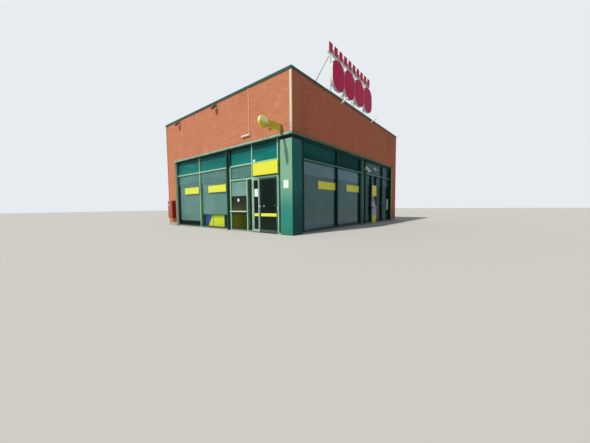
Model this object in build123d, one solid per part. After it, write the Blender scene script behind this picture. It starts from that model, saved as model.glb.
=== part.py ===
from build123d import *
import math
import os

# A single-storey corner post office: a tall brick parapet band carried over green curtain walling
# on two street faces, a clad corner column, a pair of glazed entrance doors and a lit roof sign frame.
# Millimetres, +Z up. The origin is the plan centre at ground level. The entrance face looks to -Y,
# the side street face looks to +X, and the two plain party walls are at -X and +Y.
#
# Each street face is drawn in its own coordinates: "along" runs from the street corner, "depth" runs
# into the building from the face of the brick, and Z is the height. On the entrance face "along" is
# negative to the left, so both faces place by one rotation and one move.

# Plan and storey heights
FRONT_LENGTH = 10500
SIDE_LENGTH = 12500
WALL = 300
BAND_BOTTOM = 4000
WALL_TOP = 6320
ROOF_TOP = 5800
ROOF_THICKNESS = 200
CEILING_THICKNESS = 30
CEILING_CLEARANCE = 10
FLOOR_TOP = 30
FRONT_PIER_WIDTH = 1000
SIDE_PIER_WIDTH = 900
PLINTH_HEIGHT = 180
PLINTH_PROJECTION = 15

# Coping on the parapets
COPING_OVERHANG = 35
COPING_LEG = 10
COPING_DRIP = 25
COPING_RISE = 80
COPING_FALL = 15
COPING_JOINT = 3
STRAP_WIDTH = 90
STRAP_SHEET = 3
STRAP_SPACING = 2500

# Light green fascia strip and the beam behind it
FASCIA_HEIGHT = 95
FASCIA_PROJECTION = 40
FASCIA_SHEET = 8
FASCIA_PIECE = 1450
FASCIA_JOINT = 4
LINTEL_SETBACK = 20

# Corner column
COLUMN_SIZE = 620
COLUMN_SETBACK = 30
COLUMN_CORNER = 12
NECK_HEIGHT = 130
NECK_INSET = 25

# Curtain walling: grooved bars that hold panes and panels
GLAZING_RECESS = 120
BAR = 60
FRONT_NOSE = 60
SIDE_NOSE = 100
SIDE_BAR = 100
PANE = 24
BITE = 20
BAR_BACK = 40
SILL_HEIGHT = 60
SILL_FRONT = 100
SILL_BACK = 260
SILL_FALL = 15
UPPER_TRANSOM = 3060
DOOR_HEAD = 2400
SCREEN_RAIL = 900

# Entrance face bars, as the distance from the corner to the edge nearest the corner
FRONT_JAMB_WIDTH = 190
DOOR_JAMB = 840
DOOR_MULLION = 2420
SCREEN_MULLION = 2790
SCREEN_JAMB = 4030
POST_WIDTH = 220
FRONT_END_BAR = 80

# Side face bars, the same way
SIDE_JAMB_WIDTH = 260
SIDE_MULLION_1 = 3650
SIDE_MULLION_2 = 6410
SIDE_POST_WIDTH = 400
SIDE_POST_DEPTH = 280
SIDE_POST_WEB = 170
SIDE_MULLION_4 = 9950

# Entrance doors
LEAF_THICKNESS = 50
LEAF_STILE = 62
LEAF_TOP_RAIL = 70
LEAF_BOTTOM_RAIL = 110
LEAF_CLEARANCE = 8
LEAF_MEETING_GAP = 12
MEETING_LINE = 2000
LEAF_PANE = 20
LEAF_BITE = 15
HINGE_OFFSET = 12
HINGE_RADIUS = 10
HINGE_PLATE = 4
HINGE_PLATE_WIDTH = 38
HINGE_KNUCKLE = 60
HINGE_GAP = 1
HINGE_PIN = 5
HINGE_PIN_CLEARANCE = 0.05
HINGE_HEIGHTS = (300, 1200, 2150)
HANDLE_HEIGHT = 1160
HANDLE_LENGTH = 130
HANDLE_RADIUS = 9
HANDLE_REACH = 55
ROSE_RADIUS = 26
ROSE_THICKNESS = 8

# Push rail on the fixed screen
PUSH_RAIL_RADIUS = 22
PUSH_RAIL_STANDOFF = 30

# Signs on the faces, all bare
DOOR_SIGN_LENGTH = 1490
DOOR_SIGN_LAP = 45
DOOR_SIGN_HANGER = 60
DOOR_SIGN_HEIGHT = 520
DOOR_SIGN_DEPTH = 90
DOOR_SIGN_BOTTOM = 2510
SIGN_CORNER = 25
FRONT_STRIP_LENGTH = 1600
SIDE_STRIP_LENGTH = 1540
STRIP_HEIGHT = 360
STRIP_THICKNESS = 3
STRIP_BOTTOM = 1935
FRONT_STRIP_MARGIN = 200
SIDE_STRIP_MARGIN = 20
PROJECTING_SIGN_ALONG = 500
DISC_DIAMETER = 440
DISC_THICKNESS = 95
DISC_RIM = 22
DISC_DISH = 12
DISC_REACH = 1000
DISC_HEIGHT = 4200
TAIL_HEIGHT = 255
TAIL_THICKNESS = 70
TAIL_START = 70
BRACKET_PLATE = (90, 12, 345)
BRACKET_ARM = 46
BRACKET_LAP = 60
ALARM_RADIUS = 70
ALARM_NECK = 49
ALARM_INSET = 105
ALARM_LAP = 5
ALARM_HEIGHT = 110

# Roof sign: two rows of blank plates on a steel frame, behind the side parapet
SIGN_POST = 80
SIGN_RAIL = 60
SIGN_DEPTH = 450
BOARD_THICKNESS = 130
SIGN_START = 3440
SIGN_LENGTH = 5410
SIGN_POSTS = 4
SIGN_POST_INSETS = (440, 840)
SIGN_TOP = 9130
RAIL_SETBACK = 150
STAY_SIDE = 60
STAY_TOP = 8860
STAY_REACH = 2550
FOOT_PLATE = 220
FOOT_THICKNESS = 12
BIG_PLATES = 4
BIG_PLATE_HEIGHT = 1500
BIG_PLATE_BOTTOM = 7100
BIG_PLATE_GAP = 25
BIG_PLATE_CORNER = 530
BIG_PLATE_INSETS = (340, 70)
SMALL_PLATES = 10
SMALL_PLATE_HEIGHT = 465
SMALL_PLATE_BOTTOM = 8695
SMALL_PLATE_GAP = 165
SMALL_PLATE_INSETS = (0, 460)
RAIL_HEIGHTS = (6900, 7350, 8250, 8910)

# Things fixed to the faces
TRIM_WIDTH = 95
TRIM_THICKNESS = 8
TRIM_LAP = 30
PIPE_RADIUS = 45
PIPE_STANDOFF = 25
PIPE_COLLAR = 54
PIPE_COLLAR_HEIGHT = 70
PIPE_BRACKETS = (350, 1380, 3400)
BOX_WIDTH = 550
BOX_DEPTH = 240
BOX_BOTTOM = 490
BOX_HEIGHT = 1110
BOX_MARGIN = 80
BOX_SLOPE = 60
BOX_SLOT = (380, 34, 40)
LAMP_LENGTH = 545
LAMP_HEIGHT = 70
LAMP_DEPTH = 90
LAMP_ALONG = 2360
LAMP_BOTTOM = 4270
CONDUIT = 32
LAMP_CONDUIT_INSET = 40
PIER_CONDUIT_MARGIN = 80
FLOOD_ALONG = (4870, 8720)
FLOOD_PLATE = (120, 10, 120)
FLOOD_DROP = 60
FLOOD_HEAD = (230, 90, 170)
FLOOD_TILT = -35
FLOOD_REACH = 180
FLOOD_HANG = 136
FLOOD_ARM = 28
ARM_ALONG = (3870, 7560)
ARM_PLATE = (90, 10, 100)
ARM_DROP = 30
ARM_SIDE = 36
ARM_REACH = 340
ARM_RISE = 150
ARM_HEAD_RADIUS = 42
ARM_HEAD_LENGTH = 290
SPOT_ALONG = 6820
SPOT_HEIGHT = 3300
SPOT_SHIFT = 50
SPOT_RADIUS = 75
SPOT_LENGTH = 360
SPOT_TILT = 40
SPOT_REACH = 240
HANGING_SPOT_ALONG = 8120
HANGING_SPOT_DROP = 460
HANGING_SPOT_RADIUS = 55
HANGING_SPOT_LENGTH = 230
SPOT_ARM = 22
SENSOR = (110, 70, 110)
SENSOR_ALONG = 2290

REVEAL_SHEET = 8

# Seen through the glass
BLIND_TOP = 2440
BLIND_CASSETTE = 60
BLIND_FABRIC = 4
FRONT_BLIND_BOTTOMS = (750, 330)
SIDE_BLIND_BOTTOMS = (330, 330)
BOARD_ALONG = 4920
BOARD_LENGTH = 1790
BOARD_HEIGHT = 700
BOARD_DEPTH = 320
MACHINE_ALONG = 8110
MACHINE_WIDTH = 740
MACHINE_DEPTH = 700
MACHINE_HEIGHT = 2440
MACHINE_HEADER = 660
MACHINE_SHELF = 1020
MACHINE_PROUD = 20
MACHINE_RAKE = 110
SHELF_REACH = 60

# Worked out from the values above
CORNER_X = FRONT_LENGTH / 2
CORNER_Y = -SIDE_LENGTH / 2
FASCIA_BOTTOM = BAND_BOTTOM - FASCIA_HEIGHT
FRONT_END = FRONT_LENGTH - FRONT_PIER_WIDTH
SIDE_END = SIDE_LENGTH - SIDE_PIER_WIDTH
COLUMN_END = COLUMN_SETBACK + COLUMN_SIZE
POST_START = SCREEN_JAMB + BAR
POST_END = POST_START + POST_WIDTH
BAY_WIDTH = (FRONT_END - FRONT_END_BAR - BAR - POST_END) / 2
BAY_MULLION = POST_END + BAY_WIDTH
BOX_ALONG = FRONT_END + BOX_MARGIN
SIDE_POST_START = SIDE_MULLION_2 + SIDE_BAR
SIDE_MULLION_3 = SIDE_POST_START + SIDE_POST_WIDTH + SIDE_POST_WEB
FRONT_GLASS = GLAZING_RECESS + FRONT_NOSE
SIDE_GLASS = GLAZING_RECESS + SIDE_NOSE
FRONT_BACK = FRONT_GLASS + PANE + BAR_BACK
SIDE_BACK = SIDE_GLASS + PANE + BAR_BACK
MACHINE_END = MACHINE_ALONG + MACHINE_WIDTH
LEAF_BOTTOM = FLOOR_TOP + LEAF_CLEARANCE
LEAF_TOP = DOOR_HEAD - LEAF_CLEARANCE
HINGE_DEPTH = GLAZING_RECESS - HINGE_OFFSET

FRONT_PLACE = Pos(CORNER_X, CORNER_Y, 0)
SIDE_PLACE = Pos(CORNER_X, CORNER_Y, 0) * Rot(0, 0, 90)


def block(x0, x1, y0, y1, z0, z1):
    """A box between two corners."""
    size = Box(abs(x1 - x0), abs(y1 - y0), abs(z1 - z0))
    return Pos((x0 + x1) / 2, (y0 + y1) / 2, (z0 + z1) / 2) * size


def along_x(points, x0, x1):
    """A profile of (depth, height) points, pushed from x0 to x1 along a face."""
    plane = Plane(origin=(x0, 0, 0), x_dir=(0, 1, 0), z_dir=(1, 0, 0))
    return extrude(plane * Polygon(*points, align=None), x1 - x0, dir=(1, 0, 0))


def rod(start, end, radius):
    """A round bar between two points."""
    axis = Vector(*end) - Vector(*start)
    plane = Plane(origin=start, z_dir=axis)
    return extrude(plane * Circle(radius), axis.length)


def square_bar(start, end, size):
    """A square bar between two points, with one side level along X."""
    axis = Vector(*end) - Vector(*start)
    plane = Plane(origin=start, x_dir=(1, 0, 0), z_dir=axis)
    return extrude(plane * Rectangle(size, size), axis.length)


def rounded_plate(length, height, thickness, corner):
    """An upright plate, round-cornered if asked: length along X, thickness along +Y, height along Z."""
    plane = Plane(origin=(0, thickness, 0), x_dir=(1, 0, 0), z_dir=(0, -1, 0))
    sheet = RectangleRounded(length, height, corner) if corner else Rectangle(length, height)
    outline = Pos(length / 2, height / 2) * sheet
    return extrude(plane * outline, thickness)


def gather(solids):
    """Solids that don't touch, kept together as one node."""
    return Compound(children=[solid for shape in solids for solid in shape.solids()])


# Masonry, floor and roof

def front_pier():
    return block(-FRONT_LENGTH, -FRONT_END, 0, WALL, PLINTH_HEIGHT, BAND_BOTTOM)


def side_pier():
    return block(SIDE_END, SIDE_LENGTH, 0, WALL, PLINTH_HEIGHT, BAND_BOTTOM)


def pier_plinths():
    front = block(-FRONT_LENGTH, -FRONT_END, -PLINTH_PROJECTION, WALL, 0, PLINTH_HEIGHT)
    side = block(SIDE_END, SIDE_LENGTH, -PLINTH_PROJECTION, WALL, 0, PLINTH_HEIGHT)
    return gather([FRONT_PLACE * front, SIDE_PLACE * side])


def front_brick_band():
    return block(-FRONT_LENGTH, 0, 0, WALL, BAND_BOTTOM, WALL_TOP)


def side_brick_band():
    return block(WALL, SIDE_LENGTH, 0, WALL, BAND_BOTTOM, WALL_TOP)


def west_party_wall():
    return block(-CORNER_X, -CORNER_X + WALL, CORNER_Y + WALL, -CORNER_Y, 0, WALL_TOP)


def back_party_wall():
    return block(-CORNER_X + WALL, CORNER_X - WALL, -CORNER_Y - WALL, -CORNER_Y, 0, WALL_TOP)


def inner_plan(z0, z1):
    """The plan between the inner faces of the four walls."""
    return block(-CORNER_X + WALL, CORNER_X - WALL, CORNER_Y + WALL, -CORNER_Y - WALL, z0, z1)


def floor_slab():
    """Floor between the walls, out to the sills, with a tongue to the threshold of the doors."""
    plan = inner_plan(0, FLOOR_TOP)
    front_strip = block(-FRONT_END, -SILL_BACK, SILL_BACK, WALL, 0, FLOOR_TOP)
    threshold = block(-DOOR_MULLION, -DOOR_JAMB - BAR, SILL_FRONT, SILL_BACK, 0, FLOOR_TOP)
    side_strip = block(WALL, SIDE_END, SILL_BACK, WALL, 0, FLOOR_TOP)
    column = block(-COLUMN_END, 0, 0, COLUMN_END, 0, FLOOR_TOP)
    post = block(SIDE_POST_START, SIDE_POST_START + SIDE_POST_WIDTH, 0, GLAZING_RECESS + SIDE_POST_DEPTH,
                 0, FLOOR_TOP)
    floor = plan + FRONT_PLACE * front_strip + FRONT_PLACE * threshold + SIDE_PLACE * side_strip
    return floor - FRONT_PLACE * column - SIDE_PLACE * post


def roof_slab():
    return inner_plan(ROOF_TOP - ROOF_THICKNESS, ROOF_TOP)


def suspended_ceiling():
    """Ceiling boards between the beams and walls, clear above the heads of the column and post."""
    low = FASCIA_BOTTOM + CEILING_CLEARANCE
    return inner_plan(low, low + CEILING_THICKNESS)


def front_lintel():
    return block(-FRONT_END, -LINTEL_SETBACK, LINTEL_SETBACK, WALL, FASCIA_BOTTOM, BAND_BOTTOM)


def side_lintel():
    return block(WALL, SIDE_END, LINTEL_SETBACK, WALL, FASCIA_BOTTOM, BAND_BOTTOM)


# Corner column

def corner_column():
    """A clad square column with softened arrises and a set-back neck under the fascia."""
    near = COLUMN_SETBACK
    top = FASCIA_BOTTOM - NECK_HEIGHT
    shaft = block(-COLUMN_END, -near, near, COLUMN_END, 0, top)
    shaft = fillet(shaft.edges().filter_by(Axis.Z), COLUMN_CORNER)
    low = near + NECK_INSET
    return shaft + block(-COLUMN_END, -low, low, COLUMN_END, top, FASCIA_BOTTOM)


# Coping and fascia, mitred at the street corner

def front_mitre(joint):
    """What lies past the mitre line for a piece on the entrance face."""
    reach = FRONT_LENGTH
    past = Polygon((-reach, reach), (reach, -reach), (reach, reach), align=None)
    return Pos(-joint, 0, 0) * extrude(past, WALL_TOP + WALL, dir=(0, 0, 1))


def side_mitre(joint):
    """What lies past the mitre line for a piece on the side face."""
    reach = SIDE_LENGTH
    past = Polygon((-reach, -reach), (reach, reach), (-reach, reach), align=None)
    return Pos(joint, 0, 0) * extrude(past, WALL_TOP + WALL, dir=(0, 0, 1))


def street_coping_profile():
    """Sheet coping that falls inward, with a drip leg on both sides of the wall."""
    out = -COPING_OVERHANG
    inn = WALL + COPING_OVERHANG
    top = WALL_TOP + COPING_RISE
    drip = WALL_TOP - COPING_DRIP
    return [(out, drip), (out, top), (inn, top - COPING_FALL), (inn, drip), (inn - COPING_LEG, drip),
            (inn - COPING_LEG, WALL_TOP), (out + COPING_LEG, WALL_TOP), (out + COPING_LEG, drip)]


def party_coping_profile():
    """The same coping, flush with the party side."""
    return [(max(depth, 0), height) for depth, height in street_coping_profile()[1:7]]


def parapet_coping():
    front = along_x(street_coping_profile(), -FRONT_LENGTH, COPING_OVERHANG) - front_mitre(COPING_JOINT)
    side = along_x(street_coping_profile(), -COPING_OVERHANG, SIDE_LENGTH) - side_mitre(COPING_JOINT)
    inset = WALL + COPING_OVERHANG + COPING_JOINT
    west = along_x(party_coping_profile(), 0, SIDE_LENGTH - inset)
    back = along_x(party_coping_profile(), inset, FRONT_LENGTH - inset)
    west_place = Pos(-CORNER_X, -CORNER_Y, 0) * Rot(0, 0, -90)
    back_place = Pos(CORNER_X, -CORNER_Y, 0) * Rot(0, 0, 180)
    walls = west_party_wall() + back_party_wall()
    pieces = [FRONT_PLACE * front, SIDE_PLACE * side, west_place * west, back_place * back]
    return gather([piece - walls for piece in pieces])


def coping_straps():
    """Cover straps folded over the coping joints."""
    out = -COPING_OVERHANG
    inn = WALL + COPING_OVERHANG
    high = WALL_TOP + COPING_RISE
    low = WALL_TOP - COPING_DRIP
    sheet = STRAP_SHEET
    points = [(out - sheet, low), (out - sheet, high + sheet), (inn + sheet, high - COPING_FALL + sheet),
              (inn + sheet, low), (inn, low), (inn, high - COPING_FALL), (out, high), (out, low)]
    straps = []
    for place, length, towards in ((FRONT_PLACE, FRONT_LENGTH, -1), (SIDE_PLACE, SIDE_LENGTH, 1)):
        count = round(length / STRAP_SPACING)
        for number in range(1, count):
            middle = towards * number * length / count
            straps.append(place * along_x(points, middle - STRAP_WIDTH / 2, middle + STRAP_WIDTH / 2))
    return gather(straps)


def reveal_trims():
    """Sheet linings on the pier reveals, from the sill up to the fascia."""
    front = block(-FRONT_END, -FRONT_END + REVEAL_SHEET, 0, GLAZING_RECESS, SILL_HEIGHT, FASCIA_BOTTOM)
    side = block(SIDE_END - REVEAL_SHEET, SIDE_END, 0, GLAZING_RECESS, SILL_HEIGHT, FASCIA_BOTTOM)
    return gather([FRONT_PLACE * front, SIDE_PLACE * side])


def fascia_profile():
    """A folded sheet channel, open towards the beam."""
    out = -FASCIA_PROJECTION
    sheet = FASCIA_SHEET
    return [(out, FASCIA_BOTTOM), (LINTEL_SETBACK, FASCIA_BOTTOM), (LINTEL_SETBACK, FASCIA_BOTTOM + sheet),
            (out + sheet, FASCIA_BOTTOM + sheet), (out + sheet, BAND_BOTTOM - sheet),
            (LINTEL_SETBACK, BAND_BOTTOM - sheet), (LINTEL_SETBACK, BAND_BOTTOM), (out, BAND_BOTTOM)]


def fascia_run(start, end):
    """Fascia lengths between two places, of about the standard piece, with open joints."""
    count = round((end - start) / FASCIA_PIECE)
    piece = (end - start) / count
    for number in range(count):
        near = start + number * piece
        yield along_x(fascia_profile(), near + FASCIA_JOINT, near + piece - FASCIA_JOINT)


def fascia_strip():
    front_cut = front_mitre(FASCIA_JOINT)
    side_cut = side_mitre(FASCIA_JOINT)
    front = [FRONT_PLACE * (piece - front_cut) for piece in fascia_run(-FRONT_END, FASCIA_PROJECTION)]
    side = [SIDE_PLACE * (piece - side_cut) for piece in fascia_run(-FASCIA_PROJECTION, SIDE_END)]
    return gather(front + side)


def corner_trim():
    """A folded metal angle over the brick corner, wide on the entrance face."""
    out = TRIM_THICKNESS
    wide = block(-TRIM_WIDTH, out, -out, 0, BAND_BOTTOM, WALL_TOP - COPING_DRIP)
    lap = block(0, out, -out, TRIM_LAP, BAND_BOTTOM, WALL_TOP - COPING_DRIP)
    return wide + lap


# Curtain walling

def bar_outline(width, nose):
    """Half the section of a grooved bar: points across and deep, from the outer face inwards."""
    half = width / 2
    neck = half - BITE
    groove = GLAZING_RECESS + nose
    right = [(half, GLAZING_RECESS), (half, groove), (neck, groove), (neck, groove + PANE),
             (half, groove + PANE), (half, groove + PANE + BAR_BACK)]
    return right + [(-across, deep) for across, deep in reversed(right)]


def mullion(near, width, nose, z0, z1):
    """An upright grooved bar; near is its edge with the lower place along the face."""
    outline = Polygon(*bar_outline(width, nose), align=None)
    return Pos(near + width / 2, 0, z0) * extrude(outline, z1 - z0, dir=(0, 0, 1))


def transom(x0, x1, bottom, nose):
    """A level grooved bar between two uprights."""
    middle = bottom + BAR / 2
    points = [(deep, middle + across) for across, deep in bar_outline(BAR, nose)]
    return along_x(points, x0, x1)


def pane(x0, x1, z0, z1, front):
    """A pane or panel whose edges sit in the grooves round a clear opening."""
    return block(x0 - BITE, x1 + BITE, front, front + PANE, z0 - BITE, z1 + BITE)


def front_upright(near, width, z0, z1):
    return FRONT_PLACE * mullion(-near - width, width, FRONT_NOSE, z0, z1)


def front_mullions():
    top = FASCIA_BOTTOM
    full = [front_upright(near, BAR, SILL_HEIGHT, top)
            for near in (DOOR_JAMB, DOOR_MULLION, SCREEN_JAMB, BAY_MULLION)]
    short = front_upright(SCREEN_MULLION, BAR, SILL_HEIGHT, DOOR_HEAD)
    return gather(full + [short])


def front_posts():
    """The dark uprights: beside the column, behind the downpipe and against the pier."""
    top = FASCIA_BOTTOM
    return gather([
        front_upright(DOOR_JAMB - FRONT_JAMB_WIDTH, FRONT_JAMB_WIDTH, SILL_HEIGHT, top),
        front_upright(POST_START, POST_WIDTH, SILL_HEIGHT, top),
        front_upright(FRONT_END - FRONT_END_BAR, FRONT_END_BAR, SILL_HEIGHT, top)])


BAY_1 = (FRONT_END - FRONT_END_BAR, BAY_MULLION + BAR)
BAY_2 = (BAY_MULLION, POST_END)
SCREEN = (SCREEN_JAMB, SCREEN_MULLION + BAR)
SIDELIGHT = (SCREEN_MULLION, DOOR_MULLION + BAR)
ENTRY_SIDE = (SCREEN_JAMB, DOOR_MULLION + BAR)
ENTRY = (DOOR_MULLION, DOOR_JAMB + BAR)


def front_transoms():
    levels = [(SILL_HEIGHT, (BAY_1, BAY_2, SCREEN, SIDELIGHT)),
              (SCREEN_RAIL, (SCREEN,)),
              (DOOR_HEAD, (ENTRY_SIDE, ENTRY)),
              (UPPER_TRANSOM, (BAY_1, BAY_2, ENTRY_SIDE, ENTRY)),
              (FASCIA_BOTTOM - BAR, (BAY_1, BAY_2, ENTRY_SIDE, ENTRY))]
    return gather([FRONT_PLACE * transom(-far, -near, bottom, FRONT_NOSE)
                   for bottom, bays in levels for far, near in bays])


def front_pane(bay, z0, z1):
    far, near = bay
    return FRONT_PLACE * pane(-far, -near, z0, z1, FRONT_GLASS)


def front_glass():
    foot = SILL_HEIGHT + BAR
    return gather([
        front_pane(BAY_1, foot, UPPER_TRANSOM),
        front_pane(BAY_2, foot, UPPER_TRANSOM),
        front_pane(SCREEN, foot, SCREEN_RAIL),
        front_pane(SCREEN, SCREEN_RAIL + BAR, DOOR_HEAD),
        front_pane(SIDELIGHT, foot, DOOR_HEAD),
        front_pane(ENTRY_SIDE, DOOR_HEAD + BAR, UPPER_TRANSOM),
        front_pane(ENTRY, DOOR_HEAD + BAR, UPPER_TRANSOM)])


def front_spandrels():
    low = UPPER_TRANSOM + BAR
    high = FASCIA_BOTTOM - BAR
    return gather([front_pane(bay, low, high) for bay in (BAY_1, BAY_2, ENTRY_SIDE, ENTRY)])


SIDE_BAY_1 = (COLUMN_END + SIDE_JAMB_WIDTH, SIDE_MULLION_1)
SIDE_BAY_2 = (SIDE_MULLION_1 + SIDE_BAR, SIDE_MULLION_2)
SIDE_BAY_3 = (SIDE_MULLION_3 + SIDE_BAR, SIDE_MULLION_4)
SIDE_BAY_4 = (SIDE_MULLION_4 + SIDE_BAR, SIDE_END - SIDE_BAR)
MACHINE_LEFT = (SIDE_BAY_3[0], MACHINE_ALONG - BAR)
MACHINE_RIGHT = (MACHINE_END + BAR, SIDE_BAY_3[1])
MACHINE_BAY = (MACHINE_ALONG, MACHINE_END)


def side_mullions():
    top = FASCIA_BOTTOM
    bars = [(COLUMN_END, SIDE_JAMB_WIDTH, top), (SIDE_MULLION_1, SIDE_BAR, top),
            (SIDE_MULLION_2, SIDE_BAR, top), (SIDE_MULLION_3, SIDE_BAR, top),
            (MACHINE_LEFT[1], BAR, UPPER_TRANSOM), (MACHINE_END, BAR, UPPER_TRANSOM),
            (SIDE_MULLION_4, SIDE_BAR, top), (SIDE_BAY_4[1], SIDE_BAR, top)]
    return gather([SIDE_PLACE * mullion(near, width, SIDE_NOSE, SILL_HEIGHT, high)
                   for near, width, high in bars])


def side_post():
    """A clad steel post with a set-back web that closes the gap to the next bar."""
    end = SIDE_POST_START + SIDE_POST_WIDTH
    post = block(SIDE_POST_START, end, GLAZING_RECESS, GLAZING_RECESS + SIDE_POST_DEPTH, 0, FASCIA_BOTTOM)
    web = block(end, SIDE_MULLION_3 + BITE, SIDE_GLASS, SIDE_GLASS + PANE, SILL_HEIGHT, FASCIA_BOTTOM)
    return post + web


def side_transoms():
    bays = (SIDE_BAY_1, SIDE_BAY_2, SIDE_BAY_3, SIDE_BAY_4)
    feet = (SIDE_BAY_1, SIDE_BAY_2, MACHINE_LEFT, MACHINE_RIGHT, SIDE_BAY_4)
    levels = [(SILL_HEIGHT, feet), (MACHINE_HEIGHT, (MACHINE_BAY,)), (UPPER_TRANSOM, bays),
              (FASCIA_BOTTOM - BAR, bays)]
    return gather([SIDE_PLACE * transom(near, far, bottom, SIDE_NOSE)
                   for bottom, spans in levels for near, far in spans])


def side_pane(bay, z0, z1):
    near, far = bay
    return SIDE_PLACE * pane(near, far, z0, z1, SIDE_GLASS)


def side_glass():
    foot = SILL_HEIGHT + BAR
    low = UPPER_TRANSOM + BAR
    high = FASCIA_BOTTOM - BAR
    tall = [side_pane(bay, foot, UPPER_TRANSOM)
            for bay in (SIDE_BAY_1, SIDE_BAY_2, MACHINE_LEFT, MACHINE_RIGHT, SIDE_BAY_4)]
    over = [side_pane(MACHINE_BAY, MACHINE_HEIGHT + BAR, UPPER_TRANSOM),
            side_pane(SIDE_BAY_3, low, high), side_pane(SIDE_BAY_4, low, high)]
    return gather(tall + over)


def side_spandrels():
    low = UPPER_TRANSOM + BAR
    high = FASCIA_BOTTOM - BAR
    return gather([side_pane(bay, low, high) for bay in (SIDE_BAY_1, SIDE_BAY_2)])


def sill_length(x0, x1):
    """A low sill with a weathered front edge."""
    points = [(SILL_FRONT, 0), (SILL_FRONT, SILL_HEIGHT - SILL_FALL), (GLAZING_RECESS, SILL_HEIGHT),
              (SILL_BACK, SILL_HEIGHT), (SILL_BACK, 0)]
    return along_x(points, x0, x1)


def glazing_sills():
    front = [sill_length(-FRONT_END, -DOOR_MULLION), sill_length(-DOOR_JAMB - BAR, -COLUMN_END)]
    side = [sill_length(COLUMN_END, SIDE_POST_START),
            sill_length(SIDE_POST_START + SIDE_POST_WIDTH, SIDE_END)]
    return gather([FRONT_PLACE * length for length in front] + [SIDE_PLACE * length for length in side])


# Entrance doors: the wide leaf hangs by the column, the narrow leaf by the side screen

MAIN_HINGE = -(DOOR_JAMB + BAR + LEAF_CLEARANCE / 2)
NARROW_HINGE = -(DOOR_MULLION - LEAF_CLEARANCE / 2)
MAIN_LEAF = (-MEETING_LINE + LEAF_MEETING_GAP / 2, -(DOOR_JAMB + BAR + LEAF_CLEARANCE))
NARROW_LEAF = (-(DOOR_MULLION - LEAF_CLEARANCE), -MEETING_LINE - LEAF_MEETING_GAP / 2)


def leaf_opening(leaf):
    """The clear opening inside a leaf's stiles and rails."""
    low, high = leaf
    return low + LEAF_STILE, high - LEAF_STILE, LEAF_BOTTOM + LEAF_BOTTOM_RAIL, LEAF_TOP - LEAF_TOP_RAIL


def leaf_pane(leaf):
    x0, x1, z0, z1 = leaf_opening(leaf)
    front = GLAZING_RECESS + (LEAF_THICKNESS - LEAF_PANE) / 2
    return block(x0 - LEAF_BITE, x1 + LEAF_BITE, front, front + LEAF_PANE, z0 - LEAF_BITE, z1 + LEAF_BITE)


def knuckle(hinge, towards, middle, length):
    """A hinge knuckle with the plate that is screwed to the face on one side of the pin."""
    plate_front = GLAZING_RECESS - HINGE_PLATE
    barrel = Pos(hinge, HINGE_DEPTH, middle) * Cylinder(HINGE_RADIUS, length)
    plate = block(hinge, hinge + towards * HINGE_PLATE_WIDTH, plate_front, GLAZING_RECESS,
                  middle - length / 2, middle + length / 2)
    return barrel + plate


def hinge_pin(hinge, middle, radius):
    return Pos(hinge, HINGE_DEPTH, middle - HINGE_KNUCKLE / 2) * Cylinder(radius, 1.5 * HINGE_KNUCKLE)


def leaf_frame(leaf, hinge, towards):
    """Stiles and rails round a grooved opening, with the leaf's own hinge knuckles."""
    low, high = leaf
    back = GLAZING_RECESS + LEAF_THICKNESS
    x0, x1, z0, z1 = leaf_opening(leaf)
    frame = block(low, high, GLAZING_RECESS, back, LEAF_BOTTOM, LEAF_TOP)
    frame -= block(x0, x1, GLAZING_RECESS, back, z0, z1)
    frame -= leaf_pane(leaf)
    for height in HINGE_HEIGHTS:
        frame += knuckle(hinge, towards, height, HINGE_KNUCKLE)
        frame -= hinge_pin(hinge, height, HINGE_PIN + HINGE_PIN_CLEARANCE)
    return frame


def fixed_knuckles(hinge, towards):
    """The jamb knuckle below each leaf knuckle, with the pin that the leaf is lifted on to."""
    for height in HINGE_HEIGHTS:
        middle = height - HINGE_KNUCKLE - HINGE_GAP
        yield FRONT_PLACE * (hinge_pin(hinge, height, HINGE_PIN)
                             + knuckle(hinge, towards, middle, HINGE_KNUCKLE))


def main_door_frame():
    return FRONT_PLACE * leaf_frame(MAIN_LEAF, MAIN_HINGE, -1)


def main_door_glass():
    return FRONT_PLACE * leaf_pane(MAIN_LEAF)


def main_door_handle():
    """A lever on a round rose, on the free stile."""
    stile = MAIN_LEAF[0] + LEAF_STILE / 2
    face = GLAZING_RECESS
    elbow = face - HANDLE_REACH
    rose = rod((stile, face, HANDLE_HEIGHT), (stile, face - ROSE_THICKNESS, HANDLE_HEIGHT), ROSE_RADIUS)
    neck = rod((stile, face, HANDLE_HEIGHT), (stile, elbow, HANDLE_HEIGHT), HANDLE_RADIUS)
    near = stile - HANDLE_RADIUS
    lever = block(near, near + HANDLE_LENGTH, elbow - HANDLE_RADIUS, elbow,
                  HANDLE_HEIGHT - HANDLE_RADIUS, HANDLE_HEIGHT + HANDLE_RADIUS)
    lever = chamfer(lever.edges().filter_by(Axis.X), HANDLE_RADIUS / 3)
    return FRONT_PLACE * (rose + neck + lever)


def narrow_door_frame():
    return FRONT_PLACE * leaf_frame(NARROW_LEAF, NARROW_HINGE, 1)


def narrow_door_glass():
    return FRONT_PLACE * leaf_pane(NARROW_LEAF)


def door_hinges():
    return gather(list(fixed_knuckles(MAIN_HINGE, 1)) + list(fixed_knuckles(NARROW_HINGE, -1)))


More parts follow.
